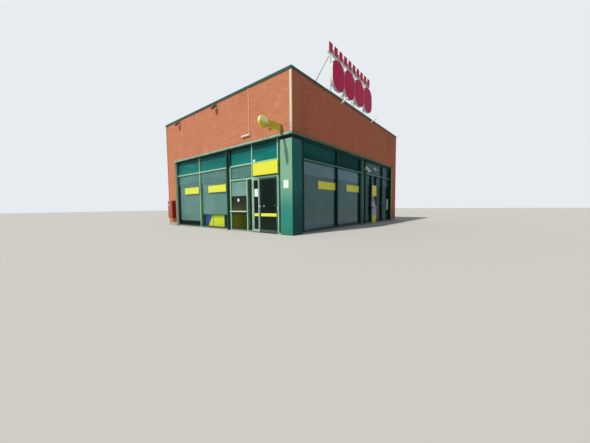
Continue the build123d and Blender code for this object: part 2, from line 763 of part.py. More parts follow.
def screen_push_rail():
    """A round rail on two stand-offs, across the fixed screen in front of its middle bar."""
    height = SCREEN_RAIL + BAR / 2
    line = GLAZING_RECESS - PUSH_RAIL_STANDOFF - PUSH_RAIL_RADIUS
    far = -SCREEN[0] - BAR / 2
    near = -SCREEN[1] + BAR / 2
    rail = rod((far, line, height), (near, line, height), PUSH_RAIL_RADIUS)
    half = PUSH_RAIL_RADIUS / 2
    for x in (far + PUSH_RAIL_RADIUS, near - PUSH_RAIL_RADIUS):
        rail += block(x - half, x + half, line, GLAZING_RECESS, height - half, height + half)
    return FRONT_PLACE * rail


# Signs, all bare

def door_sign_box():
    """The light box over the doors, hung on the transom above it and lapped on the jamb."""
    start = -DOOR_JAMB + DOOR_SIGN_LAP - DOOR_SIGN_LENGTH
    front = GLAZING_RECESS - DOOR_SIGN_DEPTH
    box = rounded_plate(DOOR_SIGN_LENGTH, DOOR_SIGN_HEIGHT, DOOR_SIGN_DEPTH, SIGN_CORNER)
    box = Pos(start, front, DOOR_SIGN_BOTTOM) * box
    for middle in (start + DOOR_SIGN_LENGTH / 4, start + 3 * DOOR_SIGN_LENGTH / 4):
        box += block(middle - DOOR_SIGN_HANGER / 2, middle + DOOR_SIGN_HANGER / 2,
                     GLAZING_RECESS - DOOR_SIGN_HANGER / 2, GLAZING_RECESS,
                     UPPER_TRANSOM - DOOR_SIGN_HANGER, UPPER_TRANSOM + BAR / 2)
    return FRONT_PLACE * box


def window_strips():
    """Bare strips stuck on the outer face of the glass."""
    strips = []
    for far, near in (BAY_1, BAY_2):
        end = -near - FRONT_STRIP_MARGIN
        strips.append(FRONT_PLACE * block(end - FRONT_STRIP_LENGTH, end, FRONT_GLASS - STRIP_THICKNESS,
                                          FRONT_GLASS, STRIP_BOTTOM, STRIP_BOTTOM + STRIP_HEIGHT))
    for near, far in (SIDE_BAY_1, SIDE_BAY_2):
        end = far - SIDE_STRIP_MARGIN
        strips.append(SIDE_PLACE * block(end - SIDE_STRIP_LENGTH, end, SIDE_GLASS - STRIP_THICKNESS,
                                         SIDE_GLASS, STRIP_BOTTOM, STRIP_BOTTOM + STRIP_HEIGHT))
    return gather(strips)


def disc_profile():
    """Half the section of the dished disc: points out from its middle and across its thickness."""
    half = DISC_THICKNESS / 2
    radius = DISC_DIAMETER / 2
    rim = radius - DISC_RIM
    face = half - DISC_DISH
    upper = [(0, face), (rim, face), (rim, half), (radius, half)]
    return upper + [(out, -across) for out, across in reversed(upper)]


def projecting_sign():
    """A dished disc on a tail box, held off the brick by two arms on an upright and its wall plate."""
    section = Plane.XZ * Polygon(*disc_profile(), align=None)
    disc = Pos(0, -DISC_REACH, DISC_HEIGHT) * Rot(0, 90, 0) * revolve(section, Axis.Z)
    low = DISC_HEIGHT - TAIL_HEIGHT / 2
    high = DISC_HEIGHT + TAIL_HEIGHT / 2
    tail = block(-TAIL_THICKNESS / 2, TAIL_THICKNESS / 2, -DISC_REACH, -TAIL_START - BRACKET_ARM, low, high)
    wide, thick, tall = BRACKET_PLATE
    plate = block(-wide / 2, wide / 2, -thick, 0, BAND_BOTTOM, BAND_BOTTOM + tall)
    half = BRACKET_ARM / 2
    upright = block(-half, half, -TAIL_START - BRACKET_ARM, -TAIL_START,
                    BAND_BOTTOM - BRACKET_LAP, BAND_BOTTOM + tall)
    sign = disc + tail + plate + upright
    for height in (low + BRACKET_ARM, high - BRACKET_ARM):
        sign += block(-half, half, -TAIL_START, 0, height - half, height + half)
    lamp = Pos(0, -DISC_REACH + DISC_DIAMETER / 2 + ALARM_INSET, low + ALARM_LAP - ALARM_HEIGHT / 2)
    sign += lamp * Cone(ALARM_NECK, ALARM_RADIUS, ALARM_HEIGHT)
    return FRONT_PLACE * Pos(-PROJECTING_SIGN_ALONG, 0, 0) * sign


# Roof sign frame behind the side parapet

def sign_post_places():
    start = SIGN_START + SIGN_POST_INSETS[0]
    step = (SIGN_LENGTH - sum(SIGN_POST_INSETS) - SIGN_POST) / (SIGN_POSTS - 1)
    return [start + number * step for number in range(SIGN_POSTS)]


def plate_row(count, gap, insets, height, bottom, corner):
    """A row of blank plates between two insets from the ends of the sign."""
    start = SIGN_START + insets[0]
    step = (SIGN_LENGTH - sum(insets) + gap) / count
    wide = step - gap
    plate = rounded_plate(wide, height, BOARD_THICKNESS, corner)
    return [SIDE_PLACE * Pos(start + number * step, SIGN_DEPTH, bottom) * plate for number in range(count)]


def roof_sign_plates():
    """Blank plates stand where the sign has its letters."""
    big = plate_row(BIG_PLATES, BIG_PLATE_GAP, BIG_PLATE_INSETS, BIG_PLATE_HEIGHT, BIG_PLATE_BOTTOM,
                    BIG_PLATE_CORNER)
    small = plate_row(SMALL_PLATES, SMALL_PLATE_GAP, SMALL_PLATE_INSETS, SMALL_PLATE_HEIGHT,
                      SMALL_PLATE_BOTTOM, 0)
    return gather(big + small)


def roof_sign_rails():
    """Rails run from the first post, and the top one from behind the first small plate."""
    front = SIGN_DEPTH + BOARD_THICKNESS
    end = SIGN_START + SIGN_LENGTH - RAIL_SETBACK
    starts = [sign_post_places()[0]] * (len(RAIL_HEIGHTS) - 1) + [SIGN_START + RAIL_SETBACK]
    return gather([SIDE_PLACE * block(start, end, front, front + SIGN_RAIL, height, height + SIGN_RAIL)
                   for start, height in zip(starts, RAIL_HEIGHTS)])


def roof_sign_posts():
    front = SIGN_DEPTH + BOARD_THICKNESS + SIGN_RAIL
    return gather([SIDE_PLACE * block(near, near + SIGN_POST, front, front + SIGN_POST,
                                      ROOF_TOP + FOOT_THICKNESS, SIGN_TOP) for near in sign_post_places()])


def roof_sign_stays():
    """Raking stays from the back of each post down to the roof."""
    back = SIGN_DEPTH + BOARD_THICKNESS + SIGN_RAIL + SIGN_POST
    floor = ROOF_TOP + FOOT_THICKNESS
    slope = (STAY_TOP - floor) / STAY_REACH
    stays = []
    for near in sign_post_places():
        middle = near + SIGN_POST / 2
        start = Vector(middle, back - SIGN_POST, STAY_TOP + slope * SIGN_POST)
        end = Vector(middle, back + STAY_REACH + SIGN_POST, floor - slope * SIGN_POST)
        plane = Plane(origin=start, x_dir=(1, 0, 0), z_dir=end - start)
        bar = extrude(plane * Rectangle(STAY_SIDE, STAY_SIDE), (end - start).length)
        room = block(middle - FOOT_PLATE, middle + FOOT_PLATE, back, back + STAY_REACH + FOOT_PLATE,
                     floor, SIGN_TOP)
        stays.append(SIDE_PLACE * (bar & room))
    return gather(stays)


def roof_sign_feet():
    """Base plates under the posts and the stays."""
    post_line = SIGN_DEPTH + BOARD_THICKNESS + SIGN_RAIL + SIGN_POST / 2
    half = FOOT_PLATE / 2
    feet = []
    for near in sign_post_places():
        middle = near + SIGN_POST / 2
        for depth in (post_line, post_line + SIGN_POST / 2 + STAY_REACH):
            feet.append(SIDE_PLACE * block(middle - half, middle + half, depth - half, depth + half,
                                           ROOF_TOP, ROOF_TOP + FOOT_THICKNESS))
    return gather(feet)


# Things fixed to the faces

def front_downpipe():
    """A round pipe with a collar at each bracket, from the soffit to the ground."""
    x = -(POST_START + POST_WIDTH / 2)
    line = GLAZING_RECESS - PIPE_STANDOFF - PIPE_RADIUS
    pipe = rod((x, line, 0), (x, line, FASCIA_BOTTOM), PIPE_RADIUS)
    for height in PIPE_BRACKETS:
        pipe += rod((x, line, height), (x, line, height + PIPE_COLLAR_HEIGHT), PIPE_COLLAR)
        pipe += block(x - PIPE_RADIUS / 2, x + PIPE_RADIUS / 2, line, GLAZING_RECESS,
                      height, height + PIPE_COLLAR_HEIGHT)
    return FRONT_PLACE * pipe


def letterbox():
    """A wall box with a sloping top and a posting slot, on the entrance pier."""
    top = BOX_BOTTOM + BOX_HEIGHT
    points = [(0, BOX_BOTTOM), (-BOX_DEPTH, BOX_BOTTOM), (-BOX_DEPTH, top - BOX_SLOPE), (0, top)]
    body = along_x(points, -BOX_ALONG - BOX_WIDTH, -BOX_ALONG)
    wide, tall, deep = BOX_SLOT
    middle = -BOX_ALONG - BOX_WIDTH / 2
    height = top - BOX_HEIGHT / 4
    slot = block(middle - wide / 2, middle + wide / 2, -BOX_DEPTH, -BOX_DEPTH + deep, height, height + tall)
    return FRONT_PLACE * (body - slot)


def wall_lamp():
    """A level lamp with a sloping top, on the brick over the entrance side."""
    front = -LAMP_DEPTH
    top = LAMP_BOTTOM + LAMP_HEIGHT
    points = [(0, LAMP_BOTTOM), (front, LAMP_BOTTOM), (front, LAMP_BOTTOM + LAMP_HEIGHT / 2),
              (front / 2, top), (0, top)]
    return FRONT_PLACE * along_x(points, -LAMP_ALONG - LAMP_LENGTH, -LAMP_ALONG)


def wall_conduits():
    """A conduit down to the lamp, and one down the outer edge of the entrance pier."""
    high = WALL_TOP - COPING_DRIP
    near = -LAMP_ALONG - LAMP_CONDUIT_INSET
    lamp = block(near - CONDUIT, near, -CONDUIT, 0, LAMP_BOTTOM + LAMP_HEIGHT, high)
    edge = -FRONT_LENGTH + PIER_CONDUIT_MARGIN
    pier = block(edge - CONDUIT, edge, -CONDUIT, 0, PLINTH_HEIGHT, high)
    return gather([FRONT_PLACE * lamp, FRONT_PLACE * pier])


def wall_plate(sizes, top):
    wide, thick, tall = sizes
    return block(-wide / 2, wide / 2, -thick, 0, top - tall, top)


def floodlight():
    """A tilted flood head on a short arm, on the brick under the coping."""
    plate = wall_plate(FLOOD_PLATE, -FLOOD_DROP)
    start = -FLOOD_DROP - FLOOD_PLATE[2] / 2
    end = start - FLOOD_HANG
    arm = square_bar((0, -FLOOD_PLATE[1], start), (0, -FLOOD_REACH, end), FLOOD_ARM)
    head = Pos(0, -FLOOD_REACH, end) * Rot(FLOOD_TILT, 0, 0) * Box(*FLOOD_HEAD)
    return plate + arm + head


def arm_lamp():
    """A tube lamp that reaches up and out from the brick under the coping."""
    plate = wall_plate(ARM_PLATE, -ARM_DROP)
    start = Vector(0, -ARM_PLATE[1], -ARM_DROP - ARM_PLATE[2] / 2)
    end = Vector(0, -ARM_REACH, start.Z + ARM_RISE)
    neck = end - (end - start).normalized() * ARM_HEAD_LENGTH
    return plate + square_bar(start, neck, ARM_SIDE) + rod(neck, end, ARM_HEAD_RADIUS)


def spot_head(radius, length):
    """A round spot that points down and out."""
    return Rot(90 - SPOT_TILT, 0, 0) * Rot(90, 0, 0) * Cylinder(radius, length)


def post_spot():
    """The spot held out from the face of the side post."""
    out = GLAZING_RECESS - SPOT_REACH
    arm = square_bar((0, GLAZING_RECESS, SPOT_HEIGHT), (0, out, SPOT_HEIGHT), SPOT_ARM)
    return arm + Pos(SPOT_SHIFT, out, SPOT_HEIGHT) * spot_head(SPOT_RADIUS, SPOT_LENGTH)


def hanging_spot():
    """The spot hung from the fascia."""
    line = -FASCIA_PROJECTION / 2
    height = FASCIA_BOTTOM - HANGING_SPOT_DROP
    arm = square_bar((0, line, FASCIA_BOTTOM), (0, line, height), SPOT_ARM)
    head = spot_head(HANGING_SPOT_RADIUS, HANGING_SPOT_LENGTH)
    return arm + Pos(0, line - HANGING_SPOT_RADIUS, height) * head


def door_sensor():
    """A small box on the panel over the doors."""
    wide, deep, tall = SENSOR
    return block(-wide / 2, wide / 2, FRONT_GLASS - deep, FRONT_GLASS, 0, tall)


def outside_lamps():
    lamps = [FRONT_PLACE * Pos(-along, 0, WALL_TOP) * floodlight() for along in FLOOD_ALONG]
    lamps += [SIDE_PLACE * Pos(along, 0, WALL_TOP) * arm_lamp() for along in ARM_ALONG]
    lamps.append(SIDE_PLACE * Pos(SPOT_ALONG, 0, 0) * post_spot())
    lamps.append(SIDE_PLACE * Pos(HANGING_SPOT_ALONG, 0, 0) * hanging_spot())
    lamps.append(FRONT_PLACE * Pos(-SENSOR_ALONG, 0, UPPER_TRANSOM + BAR) * door_sensor())
    return gather(lamps)


# Seen through the glass

def roller_blind(x0, x1, back, bottom):
    """A cassette on the back of the bars, the cloth that hangs from it and its bottom bar."""
    cloth = back + BLIND_CASSETTE / 3
    blind = block(x0, x1, back, back + BLIND_CASSETTE, BLIND_TOP, BLIND_TOP + BLIND_CASSETTE)
    blind += block(x0, x1, cloth, cloth + BLIND_FABRIC, bottom, BLIND_TOP)
    blind += block(x0, x1, cloth - BLIND_FABRIC, cloth + 2 * BLIND_FABRIC, bottom, bottom + BAR / 2)
    return blind


def front_blinds():
    return gather([FRONT_PLACE * roller_blind(-far - BITE, -near + BITE, FRONT_BACK, bottom)
                   for (far, near), bottom in zip((BAY_2, BAY_1), FRONT_BLIND_BOTTOMS)])


def side_blinds():
    return gather([SIDE_PLACE * roller_blind(near - BITE, far + BITE, SIDE_BACK, bottom)
                   for (near, far), bottom in zip((SIDE_BAY_1, SIDE_BAY_2), SIDE_BLIND_BOTTOMS)])


def display_board():
    """A low panel that stands on the floor behind the second bay."""
    panel = block(-BOARD_ALONG - BOARD_LENGTH, -BOARD_ALONG, BOARD_DEPTH, BOARD_DEPTH + BAR_BACK,
                  FLOOR_TOP, FLOOR_TOP + BOARD_HEIGHT)
    for x in (-BOARD_ALONG - BOARD_LENGTH + BAR, -BOARD_ALONG - 2 * BAR):
        panel += block(x, x + BAR, BOARD_DEPTH, BOARD_DEPTH + 4 * BAR, FLOOR_TOP, FLOOR_TOP + BAR)
    return FRONT_PLACE * panel


def cash_machine():
    """A tall machine in the glazing: a header, a raked screen, a shelf and a lower cabinet."""
    front = GLAZING_RECESS - MACHINE_PROUD
    back = front + MACHINE_DEPTH
    header = MACHINE_HEIGHT - MACHINE_HEADER
    lip = front - SHELF_REACH
    low = MACHINE_SHELF - SHELF_REACH
    high = MACHINE_SHELF + SHELF_REACH / 2
    points = [(front, SILL_HEIGHT), (front, low), (lip, MACHINE_SHELF), (lip, high),
              (front + SHELF_REACH / 2, high + SHELF_REACH), (front + MACHINE_RAKE, header - SHELF_REACH),
              (front, header), (front, MACHINE_HEIGHT), (back, MACHINE_HEIGHT), (back, FLOOR_TOP),
              (SILL_BACK, FLOOR_TOP), (SILL_BACK, SILL_HEIGHT)]
    return SIDE_PLACE * along_x(points, MACHINE_ALONG, MACHINE_END)


NODES = {
    "floor_slab": floor_slab(),
    "front_pier": FRONT_PLACE * front_pier(),
    "side_pier": SIDE_PLACE * side_pier(),
    "pier_plinths": pier_plinths(),
    "corner_column": FRONT_PLACE * corner_column(),
    "front_brick_band": FRONT_PLACE * front_brick_band(),
    "side_brick_band": SIDE_PLACE * side_brick_band(),
    "west_party_wall": west_party_wall(),
    "back_party_wall": back_party_wall(),
    "front_lintel": FRONT_PLACE * front_lintel(),
    "side_lintel": SIDE_PLACE * side_lintel(),
    "roof_slab": roof_slab(),
    "suspended_ceiling": suspended_ceiling(),
    "parapet_coping": parapet_coping(),
    "coping_straps": coping_straps(),
    "fascia_strip": fascia_strip(),
    "corner_trim": FRONT_PLACE * corner_trim(),
    "reveal_trims": reveal_trims(),
    "glazing_sills": glazing_sills(),
    "front_mullions": front_mullions(),
    "front_posts": front_posts(),
    "front_transoms": front_transoms(),
    "front_glass": front_glass(),
    "front_spandrels": front_spandrels(),
    "side_mullions": side_mullions(),
    "side_post": SIDE_PLACE * side_post(),
    "side_transoms": side_transoms(),
    "side_glass": side_glass(),
    "side_spandrels": side_spandrels(),
    "main_door_frame": main_door_frame(),
    "main_door_glass": main_door_glass(),
    "main_door_handle": main_door_handle(),
    "narrow_door_frame": narrow_door_frame(),
    "narrow_door_glass": narrow_door_glass(),
    "door_hinges": door_hinges(),
    "screen_push_rail": screen_push_rail(),
    "door_sign_box": door_sign_box(),
    "window_strips": window_strips(),
    "projecting_sign": projecting_sign(),
    "roof_sign_plates": roof_sign_plates(),
    "roof_sign_rails": roof_sign_rails(),
    "roof_sign_posts": roof_sign_posts(),
    "roof_sign_stays": roof_sign_stays(),
    "roof_sign_feet": roof_sign_feet(),
    "front_downpipe": front_downpipe(),
    "letterbox": letterbox(),
    "wall_lamp": wall_lamp(),
    "wall_conduits": wall_conduits(),
    "outside_lamps": outside_lamps(),
    "front_blinds": front_blinds(),
    "side_blinds": side_blinds(),
    "display_board": display_board(),
    "cash_machine": cash_machine(),
}

os.makedirs("parts", exist_ok=True)
for name, shape in NODES.items():
    export_step(shape, f"parts/{name}.step")
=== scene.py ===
import math
import random

import bmesh
import bpy
from mathutils import Matrix, Vector


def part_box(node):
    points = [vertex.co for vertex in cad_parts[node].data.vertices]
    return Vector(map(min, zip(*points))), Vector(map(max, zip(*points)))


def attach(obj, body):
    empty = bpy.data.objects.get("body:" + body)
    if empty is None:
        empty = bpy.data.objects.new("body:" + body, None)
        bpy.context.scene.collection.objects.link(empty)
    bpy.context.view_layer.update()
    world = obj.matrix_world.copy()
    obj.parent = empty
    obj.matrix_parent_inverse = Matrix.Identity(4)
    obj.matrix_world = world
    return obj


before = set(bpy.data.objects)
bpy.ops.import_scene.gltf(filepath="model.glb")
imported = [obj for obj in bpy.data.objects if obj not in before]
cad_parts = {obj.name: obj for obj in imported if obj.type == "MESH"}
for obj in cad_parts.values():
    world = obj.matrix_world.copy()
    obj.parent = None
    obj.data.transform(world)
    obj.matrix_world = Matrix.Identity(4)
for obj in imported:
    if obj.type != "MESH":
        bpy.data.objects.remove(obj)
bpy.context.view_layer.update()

# Places are in metres. On each street face a place is given as (along, depth, height): along runs from
# the street corner, depth runs into the building from the face of the brick, and height is from the ground.

CORNER = Vector((5.25, -6.25, 0.0))
FRONT_LENGTH = 10.5
SIDE_LENGTH = 12.5
FRONT_PIER = 1.0
SIDE_PIER = 0.9
PLINTH_TOP = 0.18
BAND_BOTTOM = 4.0
BAND_TOP = 6.295
ROOF_BOTTOM = 5.6
ROOF_TOP = 5.8
TRANSOM_TOP = 3.055
COLUMN_NECK = 3.774
FASCIA_SHADOW_TOP = 3.945
FLOOD_FOOT = 5.705

# Depths of the outer faces that the added pieces lie on
FRONT_GLASS = 0.18
SIDE_GLASS = 0.22
LEAF_FACE = 0.12
LEAF_GLASS = 0.135
COLUMN_FACE = 0.03
TRIM_FACE = -0.008
BOX_FACE = -0.24

# Spans along the entrance face, and where bays of both faces begin
CORNER_REVEAL = (0.04, 1.0)
SIDE_LIGHT = (2.44, 2.83)
SCREEN = (2.80, 4.05)
SCREEN_JAMB = (4.00, 4.12)
GLASS_BY_DOORS = 2.42
LAST_FRONT_BAY = 6.85
SECOND_SIDE_BAY = 3.7
THIRD_SIDE_BAY = 7.0
FLOODS_FROM = 0.345
BOARD_EDGE = 5.96
DOOR_HEAD = 2.43
FILM_BOTTOM = 1.67


def front(along, depth, height):
    return Vector((CORNER.x - along, CORNER.y + depth, height))


def side(along, depth, height):
    return Vector((CORNER.x - depth, CORNER.y + along, height))


def add_object(name, data):
    made = bpy.data.objects.new(name, data)
    bpy.context.scene.collection.objects.link(made)
    return made


# Camera, from both faces of the building in the photograph

CAMERA_PLACE = (11.3032, -13.5326, 1.1506)
CAMERA_TURN = (-39.203, -3.545, -0.5465)
CAMERA_LENS = 14.966
CAMERA_SENSOR = 36.0
CAMERA_REACH = 300.0


def add_camera():
    """The photograph's camera. Its turn is a yaw, a pitch and a roll, in degrees."""
    data = bpy.data.cameras.new("photo_camera")
    data.sensor_width = CAMERA_SENSOR
    data.lens = CAMERA_LENS
    data.clip_end = CAMERA_REACH
    camera = add_object("photo_camera", data)
    yaw, pitch, roll = (math.radians(angle) for angle in CAMERA_TURN)
    ahead = Vector((math.sin(yaw) * math.cos(pitch), math.cos(yaw) * math.cos(pitch), math.sin(pitch)))
    level = Vector((math.cos(yaw), -math.sin(yaw), 0.0))
    upright = level.cross(ahead)
    right = math.cos(roll) * level + math.sin(roll) * upright
    up = -math.sin(roll) * level + math.cos(roll) * upright
    turn = Matrix((right, up, -ahead)).transposed().to_4x4()
    camera.matrix_world = Matrix.Translation(CAMERA_PLACE) @ turn
    bpy.context.scene.camera = camera


# Materials: small helpers for node trees, all in object coordinates. A colour of three parts is a code
# from 0 to 255, and a colour of four parts is in the renderer's own scale.

def linear(value):
    return value / 12.92 if value <= 0.04045 else ((value + 0.055) / 1.055) ** 2.4


def colour(code):
    """A colour code in the renderer's own scale."""
    return tuple(linear(part / 255.0) for part in code) + (1.0,)


def lighter(code, share, more=0.0):
    """A colour code made lighter or darker."""
    return tuple(min(255, part * share + more) for part in code)


def toned(tone, share, more=0.0):
    """A colour in the renderer's own scale made lighter or darker."""
    return tuple(min(1.0, part * share + more) for part in tone[:3]) + (1.0,)


class Nodes:
    """The node tree of a material or world."""

    def __init__(self, owner):
        owner.use_nodes = True
        self.tree = owner.node_tree
        self.tree.nodes.clear()

    def node(self, kind):
        return self.tree.nodes.new(kind)

    def join(self, source, target):
        self.tree.links.new(source, target)

    def feed(self, socket, value):
        """Another node's output, a colour code or a plain value into a socket."""
        if hasattr(value, "is_output"):
            self.join(value, socket)
        elif isinstance(value, tuple) and len(value) == 3:
            socket.default_value = colour(value)
        else:
            socket.default_value = value

    def math(self, kind, one, two=0.0, limit=False):
        node = self.node("ShaderNodeMath")
        node.operation = kind
        node.use_clamp = limit
        self.feed(node.inputs[0], one)
        self.feed(node.inputs[1], two)
        return node.outputs[0]

    def blend(self, share, one, two):
        """A share of the second shader over the first."""
        node = self.node("ShaderNodeMixShader")
        self.join(share, node.inputs[0])
        self.join(one.outputs[0], node.inputs[1])
        self.join(two.outputs[0], node.inputs[2])
        return node


class Finish(Nodes):
    """A material with a main shader, and the nodes that feed it."""

    def __init__(self, name, roughness, specular=0.5, metallic=0.0):
        self.material = bpy.data.materials.new(name)
        super().__init__(self.material)
        self.output = self.node("ShaderNodeOutputMaterial")
        self.shader = self.node("ShaderNodeBsdfPrincipled")
        self.shader.inputs["Roughness"].default_value = roughness
        self.shader.inputs["Metallic"].default_value = metallic
        self.shader.inputs["Specular IOR Level"].default_value = specular
        self.join(self.shader.outputs[0], self.output.inputs[0])
        self.place = self.node("ShaderNodeTexCoord").outputs["Object"]
        split = self.node("ShaderNodeSeparateXYZ")
        self.join(self.place, split.inputs[0])
        self.x, self.y, self.z = split.outputs
        self.height = None

    def stretched(self, scale):
        mapping = self.node("ShaderNodeMapping")
        self.join(self.place, mapping.inputs["Vector"])
        mapping.inputs["Scale"].default_value = scale
        return mapping.outputs[0]

    def noise(self, scale, detail, stretch=None):
        noise = self.node("ShaderNodeTexNoise")
        noise.inputs["Scale"].default_value = scale
        noise.inputs["Detail"].default_value = detail
        noise.inputs["Roughness"].default_value = 0.55
        self.join(self.stretched(stretch) if stretch else self.place, noise.inputs["Vector"])
        return noise.outputs["Fac"]

    def speckle(self, scale):
        cells = self.node("ShaderNodeTexVoronoi")
        cells.inputs["Scale"].default_value = scale
        self.join(self.place, cells.inputs["Vector"])
        return cells.outputs["Distance"]

    def add(self, one, two, limit=False):
        return self.math("ADD", one, two, limit)

    def most(self, one, two):
        return self.math("MAXIMUM", one, two)

    def inverse(self, value):
        return self.math("SUBTRACT", 1.0, value)

    def times(self, *values):
        result = values[0]
        for value in values[1:]:
            result = self.math("MULTIPLY", result, value)
        return result

    def spread(self, value, low, high, to_low=0.0, to_high=1.0):
        """The value moved from one range to another, smoothly, and held at the ends."""
        node = self.node("ShaderNodeMapRange")
        node.interpolation_type = "SMOOTHSTEP"
        self.feed(node.inputs[0], value)
        for socket, number in zip(node.inputs[1:5], (low, high, to_low, to_high)):
            socket.default_value = number
        return node.outputs[0]

    def over(self, value, place, soft=0.0):
        """One past a place on an axis, with a soft edge where one is given."""
        if soft:
            return self.spread(value, place - soft, place + soft)
        return self.math("GREATER_THAN", value, place)

    def under(self, value, place, soft=0.0):
        """One before a place on an axis, with a soft edge where one is given."""
        if soft:
            return self.spread(value, place - soft, place + soft, 1.0, 0.0)
        return self.math("LESS_THAN", value, place)

    def between(self, value, low, high, soft=0.002):
        return self.times(self.over(value, low, soft), self.under(value, high, soft))

    def front_span(self, first, last):
        """One between two places along the entrance face."""
        return self.between(self.x, CORNER.x - last, CORNER.x - first)

    def side_span(self, first, last):
        """One between two places along the side face."""
        return self.between(self.y, CORNER.y + first, CORNER.y + last)

    def near(self, value, middle, width):
        """One at a place along an axis, falling to none at a distance from it."""
        away = self.math("ABSOLUTE", self.math("SUBTRACT", value, middle))
        return self.spread(away, 0.0, width, 1.0, 0.0)

    def grid(self, step, width):
        """Lines at equal steps along both level axes, counted from a place outside the building."""
        lines = []
        for axis in (self.x, self.y):
            part = self.math("FRACT", self.math("DIVIDE", self.add(axis, 30.0), step))
            lines.append(self.near(part, 0.5, width))
        return self.most(*lines)

    def facing(self, axis, sign=1):
        """One where the surface looks along an axis, or against it where the sign is negative."""
        geometry = self.node("ShaderNodeNewGeometry")
        split = self.node("ShaderNodeSeparateXYZ")
        self.join(geometry.outputs["Normal"], split.inputs[0])
        look = self.over if sign > 0 else self.under
        return look(split.outputs["XYZ".index(axis)], 0.5 * sign)

    def mix(self, share, one, two, kind="MIX"):
        node = self.node("ShaderNodeMix")
        node.data_type = "RGBA"
        node.blend_type = kind
        self.feed(node.inputs[0], share)
        self.feed(node.inputs[6], one)
        self.feed(node.inputs[7], two)
        return node.outputs[2]

    def patches(self, scale, detail, low, high, least=0.0, most=1.0, stretch=None):
        """Uneven patches: noise between low and high becomes a share between least and most."""
        return self.spread(self.noise(scale, detail, stretch), low, high, least, most)

    def mottle(self, one, two, scale, detail, low, high, most=1.0, stretch=None):
        """A colour with uneven patches of another over it."""
        return self.mix(self.patches(scale, detail, low, high, 0, most, stretch), one, two)

    def paint(self, value):
        self.feed(self.shader.inputs["Base Color"], value)

    def repaint(self, share, value):
        """Another colour over the paint, where share says so."""
        old = self.shader.inputs["Base Color"].links[0].from_socket
        self.paint(self.mix(share, old, value))

    def rough(self, value):
        self.feed(self.shader.inputs["Roughness"], value)

    def bump(self, height, distance, strength=1.0):
        """Relief, added to any relief that is there already."""
        node = self.node("ShaderNodeBump")
        node.inputs["Distance"].default_value = distance
        node.inputs["Strength"].default_value = strength
        self.join(height, node.inputs["Height"])
        if self.height is not None:
            self.join(self.height, node.inputs["Normal"])
        self.height = node.outputs[0]
        self.feed(self.shader.inputs["Normal"], self.height)


def coated_metal(name, base, roughness=0.42, dirt=0.25, fade=0.12, shine=0.25):
    """Coated sheet or bars: uneven fading, drip marks that run down, and fine grime."""
    coat = Finish(name, roughness, shine)
    tone = colour(base)
    dark = toned(tone, 0.55)
    paint = coat.mottle(tone, toned(tone, 1.25, 0.02), 1.3, 4, 0.35, 0.7, fade * 2)
    paint = coat.mottle(paint, dark, 9, 4, 0.52, 0.75, dirt, (2.2, 2.2, 0.16))
    coat.paint(coat.mottle(paint, dark, 46, 3, 0.5, 0.8, dirt * 0.6))
    coat.rough(coat.patches(20, 2, 0.3, 0.7, roughness - 0.08, roughness + 0.14))
    coat.bump(coat.noise(3, 2), 0.0015, 0.5)
    coat.bump(coat.noise(240, 1), 0.0002, 0.4)
    return coat


def bar_finish(name, pale, dark, low, high):
    """Coated bars: pale between two heights, and dark green as painted shade at the foot and under the
    fascia.
    """
    coat = coated_metal(name, pale, 0.4, 0.3, 0.15)
    # Painted shade: outside the two heights the bars take the dark colour.
    outside = coat.inverse(coat.between(coat.z, low, high, 0.004))
    coat.repaint(outside, coat.mottle(dark, lighter(dark, 1.5), 12, 4, 0.4, 0.75, 0.3))
    return coat


BRICK_RED = (200, 128, 94)
BRICK_ORANGE = (206, 135, 99)
BRICK_BROWN = (193, 121, 89)
MORTAR = (202, 142, 110)
BRICK_LENGTH = 0.25
BRICK_RISE = 0.055
JOINT = 0.01
SIDE_BRICK_SHADE = (0.88, 0.72, 0.72, 1.0)

# Rust runs on the entrance face: place along it and width
RUST_RUNS = ((6.98, 0.10), (8.65, 0.13), (10.40, 0.12))


def masonry_stain_and_side_shade(coat, paint):
    """Rust runs under the coping, salt and damp patches, and painted shade that darkens the side face."""
    fall = coat.spread(coat.z, 5.7, 6.3)
    skin = coat.between(coat.y, -6.3, -5.8, 0.05)
    rust = 0.0
    for along, width in RUST_RUNS:
        run = coat.near(coat.x, CORNER.x - along, width)
        rust = coat.add(rust, coat.times(run, fall, skin), True)
    broken = coat.patches(14, 4, 0.35, 0.7, 0.15, 0.95, (1.6, 1.6, 0.25))
    paint = coat.mix(coat.times(rust, broken), paint, (120, 70, 48))
    paint = coat.mottle(paint, (226, 176, 146), 2.1, 6, 0.56, 0.78, 0.32)
    paint = coat.mottle(paint, (150, 92, 70), 0.8, 4, 0.5, 0.75, 0.3, (1, 1, 0.35))
    # Painted shade: the brick and mortar of the side face are multiplied darker.
    return coat.mix(coat.facing("X"), paint, SIDE_BRICK_SHADE, "MULTIPLY")


def brick_finish():
    """The faces of the bricks: a tone for each brick, sanded grain and small pits."""
    coat = Finish("brick_face", 0.88, 0.25)
    tone = coat.node("ShaderNodeVertexColor")
    tone.layer_name = "tone"
    split = coat.node("ShaderNodeSeparateColor")
    coat.join(tone.outputs[0], split.inputs[0])
    paint = coat.mix(coat.spread(split.outputs[0], 0.0, 1.0), BRICK_RED, BRICK_ORANGE)
    paint = coat.mix(coat.spread(split.outputs[1], 0.8, 1.0), paint, BRICK_BROWN)
    paint = coat.mottle(paint, (150, 88, 62), 90, 4, 0.35, 0.7, 0.35)
    paint = coat.mottle(paint, (228, 182, 150), 30, 4, 0.66, 0.74, 0.6)
    coat.paint(masonry_stain_and_side_shade(coat, paint))
    coat.bump(coat.noise(160, 3), 0.0012, 0.6)
    coat.bump(coat.spread(coat.speckle(70.0), 0.0, 0.35), 0.0010, 0.5)
    return coat


def mortar_finish():
    coat = Finish("brick_mortar", 0.95, 0.15)
    paint = coat.mottle(MORTAR, (168, 122, 96), 30, 4, 0.3, 0.7)
    coat.paint(masonry_stain_and_side_shade(coat, paint))
    coat.bump(coat.noise(140, 3), 0.0012, 0.7)
    return coat


